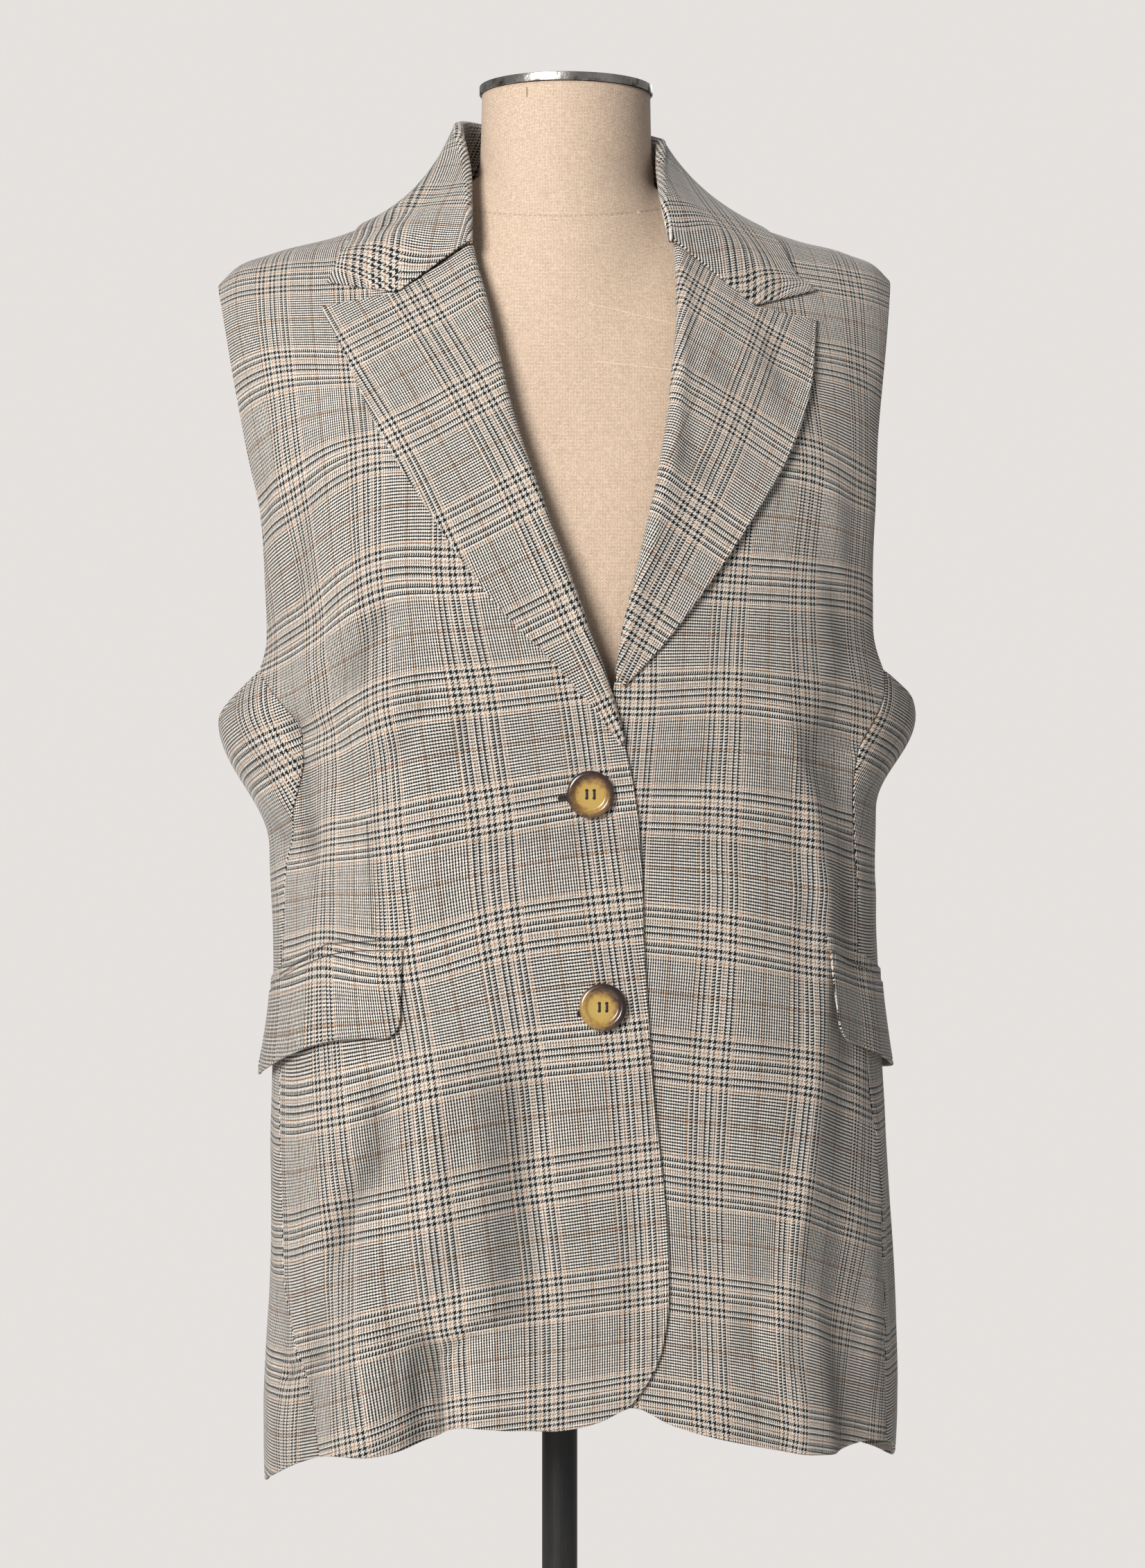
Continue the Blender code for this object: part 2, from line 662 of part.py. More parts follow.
def collar():
    """The collar: a stand sewn to the neckline, folded over into a fall that lies on the shoulders."""
    def value(name, c):
        return smooth(COLLAR, name, c)

    def laid(x_name, over_name, c, lift):
        x, over = value(x_name, c), value(over_name, c)
        step = 0.002
        point = over_shoulder(x, over)
        across = over_shoulder(x + step, over) - over_shoulder(x - step, over)
        along = over_shoulder(x, over + step) - over_shoulder(x, over - step)
        normal = unit(np.cross(across, along))
        normal *= np.sign(normal[..., 2:3] + 1e-9)
        return point + normal * lift[..., None]

    def fold(c):
        return np.stack([value("fold_x", c), value("fold_y", c), value("fold_z", c)], axis=-1)

    def place(p, c):
        """p runs up the stand, over the fold and down the fall; c from one gorge to the other."""
        loose = (1 - ramp(np.abs(c), 0.80, 1.0))[..., None]
        along = unit(fold(c + 0.02) - fold(c - 0.02))
        away = unit((fold(c) - np.array([NECK_X, 0.0, 0.0])) * np.array([1.0, 1.0, 0.0]))
        away = unit(away - along * np.sum(away * along, axis=-1, keepdims=True))
        up = np.cross(along, away)
        lean = np.radians(value("lean", c))[..., None]
        away, up = away * np.cos(lean) + up * np.sin(lean), up * np.cos(lean) - away * np.sin(lean)
        roll = GORGE_ROLL + (COLLAR_ROLL - GORGE_ROLL) * loose
        centre = fold(c) + (away - up) * roll
        bend = np.pi * np.clip((p - STAND_END) / (FALL_START - STAND_END), 0, 1)[..., None]
        over = centre + roll * (up * np.sin(bend) - away * np.cos(bend))
        start, outer = centre - away * roll, centre + away * roll
        sewn = laid("seam_x", "seam_over", c, STAND_LIFT + 0 * c)
        seam = sewn * loose + (start - up * GORGE_TAIL) * (1 - loose)
        stand_part = seam + (start - seam) * (p / STAND_END)[..., None]
        mid = laid("mid_x", "mid_over", c, value("mid_lift", c) + LAID + CLOTH / 2)
        edge = laid("edge_x", "edge_over", c, LAID + CLOTH / 2 + 0 * c)
        t = ((p - FALL_START) / (1 - FALL_START))[..., None]
        straight = np.where(t < 0.5, outer + (mid - outer) * 2 * t, mid + (edge - mid) * (2 * t - 1))
        pull = 2 * mid - (outer + edge) / 2
        curved = outer * (1 - t) ** 2 + pull * 2 * t * (1 - t) + edge * t * t
        fall = straight * (1 - loose) + curved * loose
        p = p[..., None]
        return np.where(p <= STAND_END, stand_part, np.where(p <= FALL_START, over, fall))

    stand_rows = np.linspace(0, STAND_END, 4)
    fold_rows = np.linspace(STAND_END, FALL_START, 6)[1:]
    fall_rows = np.linspace(FALL_START, 1, 9)[1:]
    profile = np.concatenate([stand_rows, fold_rows, fall_rows])
    across, up = grid(profile, np.linspace(-0.995, 0.995, 37))
    points, normal = frame_of(place, across, up)
    return wall("collar", points - normal * CLOTH / 2, points + normal * CLOTH / 2)


def flap(name, inner, outer, stand, gape):
    """A pocket flap hanging from its line, its lower corners rounded, standing off the panel."""
    def place(u, v):
        turn = inner + (outer - inner) * u
        top = smooth(POCKET_LINE, "height", turn)
        arc = abs(outer - inner) * METRES_PER_TURN
        from_end = np.clip(np.minimum(u, 1 - u) * arc, 0, FLAP_CORNER)
        rounding = FLAP_CORNER - np.sqrt(np.clip(FLAP_CORNER ** 2 - (FLAP_CORNER - from_end) ** 2, 0, None))
        return skin(turn, top - (FLAP_DEPTH - rounding) * v)

    def lift(u, v, points):
        return LAID + (stand * u + gape * (1 - u) ** 2) * np.clip(v, 0, 1) ** 1.3

    ends = np.array([0, 0.012, 0.03, 0.055, 0.085])
    columns = np.concatenate([ends, np.linspace(0.085, 0.915, 13)[1:-1], 1 - ends[::-1]])
    return cloth(name, place, columns, np.linspace(0, 1, 6), lift, FLAP_CLOTH)


def jet(name, inner, outer):
    """The narrow welt that edges the pocket above the flap."""
    def place(u, v):
        turn = inner + (outer - inner) * u
        return skin(turn, smooth(POCKET_LINE, "height", turn) + JET_LIFT + JET_HEIGHT * v)

    columns = np.linspace(-0.01, 1.01, 16)
    return cloth(name, place, columns, np.linspace(0, 1, 3), lambda u, v, points: JET_LIFT, JET_CLOTH)


# Hard pieces ------------------------------------------------------------------------------------
def turned(name, profile, kind, at, steps=40, tilt=(0, 0, 0)):
    """A turned piece: its profile, listed from the top of the axis down, spun by a Screw modifier."""
    mesh = bpy.data.meshes.new(name)
    points = [(r, 0, h) for r, h in profile]
    mesh.from_pydata(points, [(k, k + 1) for k in range(len(points) - 1)], [])
    thing = add(name, mesh, kind)
    thing.location = at
    thing.rotation_euler = tilt
    screw = thing.modifiers.new("turn", "SCREW")
    screw.steps = screw.render_steps = steps
    screw.use_merge_vertices = True
    screw.merge_threshold = 0.00001
    screw.use_smooth_shade = True
    return thing


def button(name, x, z):
    """A four-hole button with a raised rim and a dished middle, lying on the over front."""
    across = np.array([[turn_at(x, z)]])
    level = np.array([[z]])
    points, normal = frame_of(skin, across, level, step=0.05)
    normal = normal[0, 0] * -np.sign(normal[0, 0, 1])
    seat = points[0, 0] + normal * LAID
    rim, dish = BUTTON_THICK, BUTTON_THICK * 0.62
    shares = [
        (0, dish), (0.60, dish), (0.72, rim * 0.93), (0.82, rim), (0.93, rim * 0.90),
        (1, rim * 0.55), (0.96, rim * 0.22), (0.78, 0), (0, 0),
    ]
    profile = [(BUTTON_RADIUS * share, height) for share, height in shares]
    tilt = (math.acos(normal[2]), 0, math.atan2(normal[0], -normal[1]))
    thing = turned(name, profile, "horn", seat, 28, tilt)
    for k, (dx, dy) in enumerate(((-1, -1), (1, -1), (1, 1), (-1, 1))):
        bpy.ops.mesh.primitive_cylinder_add(vertices=8, radius=HOLE_RADIUS, depth=0.02)
        hole = bpy.context.object
        hole.name = f"{name}_hole_{k}"
        hole.parent = thing
        hole.location = (dx * HOLE_SPREAD, dy * HOLE_SPREAD, 0)
        hole.hide_render = True
        hole.display_type = "WIRE"
        cut = thing.modifiers.new(f"hole_{k}", "BOOLEAN")
        cut.operation = "DIFFERENCE"
        cut.object = hole
    return thing


def form_depth(x, z, back):
    """Depth of the form's half at an x: shoulders under the cloth, and the neck rising from them."""
    half = smooth(FORM, "half", z)
    reach = RIDGE_Y - smooth(FORM, "front", z) if not back else smooth(FORM, "back", z) - RIDGE_Y
    ridge = smooth(SHOULDER, "height", x) - CLOTH - FORM_GAP
    part = np.clip((z - CHEST) / (ridge - CHEST), 0, 1)
    body = reach * np.clip(1 - (np.abs(x) / half) ** SQUARE, 0, 1) ** (1 / SQUARE)
    body = body * (1 - part ** 2) ** (1 / SQUARE)
    radius = smooth(NECK, "radius", z) * ramp(z, 1.395, 1.406)
    neck = np.sqrt(np.clip(radius ** 2 - (x - NECK_X) ** 2, 0, None))
    neck = neck + (RIDGE_Y if back is False else -RIDGE_Y)
    neck = np.where(radius ** 2 > (x - NECK_X) ** 2, neck, 0)
    return (body ** 6 + np.clip(neck, 0, None) ** 6) ** (1 / 6)


def form_half(z, hand):
    """Half width of the form at a height, on one hand."""
    x = np.linspace(0.03, 0.24, 2101)
    inside = (x < smooth(FORM, "half", z)) & (smooth(SHOULDER, "height", hand * x) - CLOTH - FORM_GAP > z)
    body = x[inside].max() if inside.any() else 0
    neck = smooth(NECK, "radius", z) * ramp(z, 1.395, 1.406) + hand * NECK_X
    return max(body, neck)


def dress_form():
    """Limbless form: lofted from level sections, with closed shoulders and a plain neck."""
    heights = np.concatenate([
        np.linspace(FORM_BOTTOM, 1.355, 13), np.linspace(1.355, 1.460, 21)[1:],
        np.linspace(1.460, FORM_TOP, 4)[1:],
    ])
    segments = 36
    turns = (np.arange(segments) + 0.5) * 2 * np.pi / segments
    mesh = bpy.data.meshes.new("form_torso")
    bm = bmesh.new()
    rings = []
    for z in heights:
        loop = []
        for turn in turns:
            hand = 1 if math.sin(turn) > 0 else -1
            x = abs(math.sin(turn)) * form_half(z, hand) * hand * 0.9995
            back_half = math.cos(turn) < 0
            depth = float(form_depth(np.array(x), z, back_half))
            loop.append(bm.verts.new((x, RIDGE_Y + depth if back_half else RIDGE_Y - depth, z)))
        rings.append(loop)
    for low, high in zip(rings, rings[1:]):
        for k in range(segments):
            n = (k + 1) % segments
            bm.faces.new((low[k], low[n], high[n], high[k]))
    bm.faces.new(rings[0])
    bm.faces.new(rings[-1])
    bmesh.ops.recalc_face_normals(bm, faces=bm.faces)
    bm.to_mesh(mesh)
    bm.free()
    mesh.shade_smooth()
    return add("form_torso", mesh, "linen")


def stand():
    """Cap on the neck, pole, flange under the form, and a plain round base."""
    edge = CAP_THICK * 0.3
    turned("neck_cap", [
        (0, CAP_THICK), (CAP_RADIUS - edge, CAP_THICK), (CAP_RADIUS, CAP_THICK - edge), (CAP_RADIUS, edge),
        (CAP_RADIUS - edge, 0), (0, 0),
    ], "chrome", (NECK_X, 0, FORM_TOP + SEAM), 40)
    top = FORM_BOTTOM - SEAM
    turned("form_flange", [
        (0, 0), (FLANGE_RADIUS, 0), (FLANGE_RADIUS, -FLANGE_THICK), (SOCKET_RADIUS, -FLANGE_THICK),
        (SOCKET_RADIUS, -FLANGE_DEEP), (0, -FLANGE_DEEP),
    ], "black", (0, 0, top), 40)
    pole_top = top - FLANGE_DEEP - SEAM
    socket_top = BASE_THICK + SOCKET_HEIGHT
    pole_foot = socket_top + SEAM
    turned("pole", [(0, pole_top), (POLE_RADIUS, pole_top), (POLE_RADIUS, pole_foot), (0, pole_foot)],
           "black", (0, 0, 0), 32)
    bevel = BASE_THICK * 0.25
    turned("base_plate", [
        (0, socket_top), (SOCKET_RADIUS, socket_top), (SOCKET_RADIUS, BASE_THICK + bevel),
        (SOCKET_RADIUS + 3 * bevel, BASE_THICK), (BASE_RADIUS - bevel, BASE_THICK),
        (BASE_RADIUS, BASE_THICK - bevel), (BASE_RADIUS, 0), (0, 0),
    ], "black", (0, 0, 0), 48)


def build():
    global collection
    for thing in list(bpy.data.objects):
        bpy.data.objects.remove(thing)
    collection = bpy.data.collections.new("blazer_on_form")
    bpy.context.scene.collection.children.link(collection)
    front("front_over", "left", "over")
    front("front_under", "right", "under")
    side("side_left", "left")
    side("side_right", "right")
    back()
    for name, shape in LAPELS.items():
        lapel(name, **shape)
    collar()
    for hand, pocket in POCKETS.items():
        flap(f"flap_{hand}", **pocket)
        jet(f"jet_{hand}", pocket["inner"], pocket["outer"])
    for name, (x, z) in BUTTONS.items():
        button(name, x, z)
    dress_form()
    stand()


build()
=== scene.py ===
"""A long sleeveless blazer in a glen check, worn by a limbless linen dress form on a stand.

Metres, +Z up, the garment's front towards -Y. "Left" and "right" are the viewer's, looking at the
front. The file follows the object as it is put together: the studio, the cut cloth, the sewn-on
pieces, the buttons, the form and its stand.
"""

import math

import bmesh
import bpy
import numpy as np
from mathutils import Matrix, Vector


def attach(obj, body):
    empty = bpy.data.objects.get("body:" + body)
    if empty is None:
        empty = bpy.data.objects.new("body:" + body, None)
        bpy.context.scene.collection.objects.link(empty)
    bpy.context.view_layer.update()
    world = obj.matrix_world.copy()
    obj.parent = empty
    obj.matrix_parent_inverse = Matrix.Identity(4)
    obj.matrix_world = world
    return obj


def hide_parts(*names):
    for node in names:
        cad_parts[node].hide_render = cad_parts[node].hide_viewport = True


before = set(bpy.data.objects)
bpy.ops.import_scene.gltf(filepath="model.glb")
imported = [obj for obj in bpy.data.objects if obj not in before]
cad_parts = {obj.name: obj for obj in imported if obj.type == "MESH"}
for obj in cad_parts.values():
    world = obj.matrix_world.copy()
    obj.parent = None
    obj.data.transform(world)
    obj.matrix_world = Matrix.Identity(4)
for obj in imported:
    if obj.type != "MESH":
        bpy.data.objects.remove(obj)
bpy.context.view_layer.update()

# Studio ------------------------------------------------------------------------------------------
# A level camera with a long lens, 2.3 m ahead of the form at chest height, as in the photograph. The
# floor is a pale disc; a pale shell round everything is seen by the camera only and gives no light.
scene = bpy.context.scene
scene.view_settings.view_transform = "Standard"
BACKDROP = (0.787, 0.757, 0.735)
MIDDLE = (0, 0, 1.1)  # of the garment; the lamps face it

photo_lens = bpy.data.cameras.new("photo_camera")
photo_lens.lens, photo_lens.sensor_width, photo_lens.clip_end = 85, 36, 60
camera = bpy.data.objects.new("photo_camera", photo_lens)
camera.location = (0.008, -2.310, 1.082)
camera.rotation_euler = (math.radians(90), 0, 0)
scene.collection.objects.link(camera)
scene.camera = camera


class Wire:
    """A shader socket that takes part in sums; an expression on values adds its Math nodes."""

    def __init__(self, tree, socket):
        self.tree, self.socket = tree, socket

    def math(self, operation, *values):
        return node(self.tree, "Math", {"operation": operation}, self, *values)

    def clamp(self):
        held = self.math("ADD", 0.0)
        held.socket.node.use_clamp = True
        return held

    def __rsub__(self, other):
        return (self * -1.0) + other


for operation, *signs in (
    ("ADD", "__add__", "__radd__"), ("SUBTRACT", "__sub__"), ("MULTIPLY", "__mul__", "__rmul__"),
    ("FLOORED_MODULO", "__mod__"), ("LESS_THAN", "__lt__"), ("GREATER_THAN", "__gt__"),
    ("ABSOLUTE", "__abs__"), ("FLOOR", "floor"),
):
    for sign in signs:
        setattr(Wire, sign, lambda self, *other, kind=operation: self.math(kind, *other))


def node(tree, kind, settings=None, *values, out=0, **named):
    """Adds one node: its settings first, then its sockets by place or by name."""
    made = tree.nodes.new(f"ShaderNode{kind}")
    for name, value in (settings or {}).items():
        if name == "stops":
            ramp_stops = made.color_ramp.elements
            while len(ramp_stops) < len(value):
                ramp_stops.new(0.5)
            for stop, (place, colour) in zip(ramp_stops, value):
                stop.position, stop.color = place, (*colour, 1)
        else:
            setattr(made, name, value)
    for key, value in [*enumerate(values), *named.items()]:
        socket = made.inputs[key.replace("_", " ") if isinstance(key, str) else key]
        if isinstance(value, Wire):
            tree.links.new(value.socket, socket)
        elif value is not None:
            socket.default_value = value
    return Wire(tree, made.outputs[out])


def blend(tree, share, first, second):
    """Two colours mixed by a share from 0 to 1."""
    mixed = node(tree, "Mix", {"data_type": "RGBA"}, out=2)
    for place, value in ((0, share), (6, first), (7, second)):
        socket = mixed.socket.node.inputs[place]
        if isinstance(value, Wire):
            tree.links.new(value.socket, socket)
        else:
            socket.default_value = value if place == 0 else (*value, 1)
    return mixed


def noise(tree, where, scale, detail=2.0, **more):
    return node(tree, "TexNoise", None, Vector=where, Scale=scale, Detail=detail, **more)


def finish_of(name, **constants):
    """A new material, its tree and its shader, with the constants set on the shader's sockets."""
    made = bpy.data.materials.new(name)
    made.use_nodes = True
    tree = made.node_tree
    shader = tree.nodes["Principled BSDF"]
    for key, value in constants.items():
        shader.inputs[key.replace("_", " ")].default_value = value
    return made, tree, shader


def feed(tree, shader, **wires):
    for key, wire in wires.items():
        tree.links.new(wire.socket, shader.inputs[key.replace("_", " ")])


def take_up(*things):
    """These things alone selected, and the last of them active."""
    bpy.ops.object.select_all(action="DESELECT")
    for thing in things:
        thing.select_set(True)
        bpy.context.view_layer.objects.active = thing


def begin(primitive, name, **sizes):
    """A new plain solid, made with nothing selected."""
    take_up()
    primitive(**sizes)
    made = bpy.context.object
    made.name = name
    return made


floor = begin(bpy.ops.mesh.primitive_circle_add, "studio_floor", vertices=128, radius=2.15,
              fill_type="NGON", location=(0, 0, -0.0004))
paper, tree, shader = finish_of("studio_paper", Roughness=0.9)
where = node(tree, "TexCoord", out=3)
grain = noise(tree, where, 40)
feed(tree, shader, Base_Color=blend(tree, grain * 0.3, (0.72, 0.70, 0.67), (0.76, 0.74, 0.71)))
floor.data.materials.append(paper)

shell = begin(bpy.ops.mesh.primitive_uv_sphere_add, "studio_backdrop", segments=48, ring_count=24,
              radius=14.0, location=(0, 0, 1))
shell.data.materials.append(finish_of(
    "studio_glow", Emission_Strength=1.0, Roughness=1.0, Specular_IOR_Level=0.0,
    Base_Color=(0, 0, 0, 1), Emission_Color=(*BACKDROP, 1),
)[0])
for ray in ("diffuse", "glossy", "transmission", "volume_scatter", "shadow"):
    setattr(shell, f"visible_{ray}", False)

world = bpy.data.worlds.new("studio")
world.use_nodes = True
sky = world.node_tree.nodes["Background"].inputs
sky["Color"].default_value, sky["Strength"].default_value = (0.97, 0.98, 1.0, 1), 0.24
scene.world = world
for name, at, size, energy, colour in (
    ("key_light", (-1.75, -3.1, 2.3), 1.4, 168, (1.0, 0.985, 0.96)),
    ("fill_light", (2.8, -2.6, 1.9), 2.4, 2, (0.96, 0.98, 1.0)),
    ("back_light", (0.6, 2.8, 2.9), 2.0, 20, (1.0, 1.0, 1.0)),
):
    lamp = bpy.data.lights.new(name, "AREA")
    lamp.size, lamp.energy, lamp.color = size, energy, colour
    stand = bpy.data.objects.new(name, lamp)
    stand.location = at
    stand.rotation_euler = (Vector(MIDDLE) - Vector(at)).to_track_quat("-Z", "Y").to_euler()
    scene.collection.objects.link(stand)

# Fronts ------------------------------------------------------------------------------------------
# Two long panels of fine worsted wool, shoulder seam to hem, each with a front dart. The left one laps
# over. They are cut from the same skin that the source solids have, and joined by plain pressed seams.
CLOTH = 0.0018  # thickness of a panel with its facing
SEAM = 0.0003  # air between two pieces at a seam
LAID = 0.0007  # air under a piece that lies on a panel
UNDERLAP = 0.0028  # how far the under front lies behind the over front
UNDERLAP_ENDS = {"x": (0.072, 0.115), "height": (1.150, 1.200)}
SQUARE = 2.5  # squareness of the body's sections
CHEST = 1.152  # height at which the armholes start and the shoulders begin to close
RIDGE_Y = 0.004  # the shoulder seams lie in this plane
SHOULDER_POWER = 1.25  # how late the shoulder rounds over
FIRST_CLIMB = 0.26  # first guess at the rise from chest to shoulder, before it is worked out
HEM_GUESS = 0.70  # first guess at the hem's height


def table(names, *rows):
    """Named columns of a short table; the first column is its key and rises."""
    return dict(zip(names.split(), np.array(rows, dtype=float).T))


def each(rows):
    """A table's rows, one by one, by the names of their columns."""
    for values in zip(*rows.values()):
        yield dict(zip(rows, values))


RINGS = table(
    "height left right front back",
    (0.64, -0.183, 0.207, -0.134, 0.124), (0.7, -0.184, 0.21, -0.134, 0.124),
    (0.78, -0.18, 0.208, -0.131, 0.123), (0.86, -0.1795, 0.203, -0.127, 0.119),
    (0.95, -0.178, 0.1985, -0.121, 0.108), (1.03, -0.18, 0.1965, -0.117, 0.099),
    (1.1, -0.184, 0.1975, -0.119, 0.098), (1.152, -0.187, 0.1995, -0.122, 0.101),
    (1.2, -0.189, 0.2005, -0.124, 0.106), (1.25, -0.193, 0.204, -0.122, 0.111),
    (1.32, -0.207, 0.209, -0.117, 0.114), (1.393, -0.224, 0.217, -0.11, 0.113),
    (1.52, -0.23, 0.222, -0.104, 0.11),
)
SHOULDER = table(
    "across height",
    (-0.24, 1.37), (-0.213, 1.393), (-0.203, 1.403), (-0.18, 1.412), (-0.143, 1.422), (-0.11, 1.433),
    (-0.075, 1.446), (-0.05, 1.464), (0, 1.492), (0.05, 1.464), (0.075, 1.446), (0.11, 1.433),
    (0.143, 1.422), (0.18, 1.412), (0.198, 1.404), (0.208, 1.394), (0.24, 1.37),
)
HEM = table(
    "turn height",
    (-180, 0.682), (-150, 0.675), (-125, 0.66), (-105, 0.65), (-90, 0.648), (-75, 0.659), (-58, 0.679),
    (-41, 0.687), (-32, 0.7), (-15, 0.7015), (-3, 0.702), (5, 0.707), (12, 0.7145), (22, 0.7035),
    (40, 0.69), (50, 0.6835), (58, 0.682), (66, 0.685), (76, 0.679), (90, 0.663), (105, 0.66),
    (125, 0.665), (150, 0.676), (180, 0.682),
)
FRONT_EDGE = table(
    "height over under tuck",
    (0.71, 0.037, 0.022, 0), (0.7145, 0.041, 0.016, 0), (0.726, 0.05, 0.007, 0), (0.74, 0.058, 0, 0),
    (0.763, 0.0635, -0.004, 0), (0.805, 0.0645, -0.0045, 0), (0.8975, 0.0565, -0.0045, 0),
    (0.99, 0.0505, -0.004, 0), (1.036, 0.049, -0.003, 0), (1.07, 0.046, 0.002, 0), (1.101, 0.04, 0.015, 0),
    (1.133, 0.032, 0.03, 0.0004), (1.175, 0.0174, 0.0385, 0.001), (1.24, -0.006, 0.0535, 0.0012),
    (1.296, -0.0245, 0.065, 0.0012), (1.346, -0.037, 0.069, 0.0012), (1.39, -0.048, 0.07, 0.002),
    (1.421, -0.056, 0.069, 0.0045), (1.448, -0.07, 0.072, 0.002),
)
SIDE_SEAM = table(
    "height left right",
    (0.64, -0.138, 0.2), (0.69, -0.146, 0.199), (0.7226, -0.153, 0.1985), (0.761, -0.165, 0.198),
    (0.82, -0.169, 0.195), (0.9, -0.171, 0.189), (0.97, -0.17, 0.184), (1.03, -0.166, 0.182),
    (1.078, -0.159, 0.18), (1.1, -0.157, 0.181), (1.12, -0.16, 0.186), (1.135, -0.168, 0.19),
    (1.152, -0.179, 0.193),
)
FRONT_ARMHOLE = table(
    "height left right",
    (1.152, -0.179, 0.193), (1.2, -0.18, 0.1905), (1.251, -0.184, 0.1925), (1.286, -0.192, 0.1945),
    (1.32, -0.1985, 0.198), (1.355, -0.2055, 0.2015), (1.393, -0.213, 0.206),
)
# The largest folds: where each is deepest, how far it runs, how it leans and how far it stands out.
FOLDS = table(
    "turn height spread up down lean out",
    (-91, 1.118, 34, 0.055, 0.075, 0, 0.028), (91, 1.124, 30, 0.055, 0.058, 0, 0.024),
    (-60, 1.098, 13, 0.06, 0.06, -60, -0.006), (63, 1.1, 13, 0.05, 0.06, 60, -0.005),
    (-37, 0.69, 9, 0.13, 0.2, 20, -0.006), (-50, 0.7, 9, 0.14, 0.2, 10, 0.005),
    (-22, 0.69, 9, 0.11, 0.2, -10, 0.004), (52, 0.7, 8, 0.12, 0.2, -20, 0.005),
    (63, 0.7, 8, 0.11, 0.2, 10, -0.005), (30, 0.7, 11, 0.1, 0.2, 0, 0.003),
    (-72, 0.745, 9, 0.05, 0.06, -40, -0.004), (-150, 0.7, 13, 0.22, 0.2, 10, 0.006),
    (172, 0.7, 12, 0.18, 0.2, -10, -0.005), (140, 0.7, 14, 0.24, 0.2, 0, 0.006),
    (-128, 1.09, 14, 0.07, 0.08, 40, -0.005), (126, 1.09, 14, 0.07, 0.08, -40, -0.005),
)
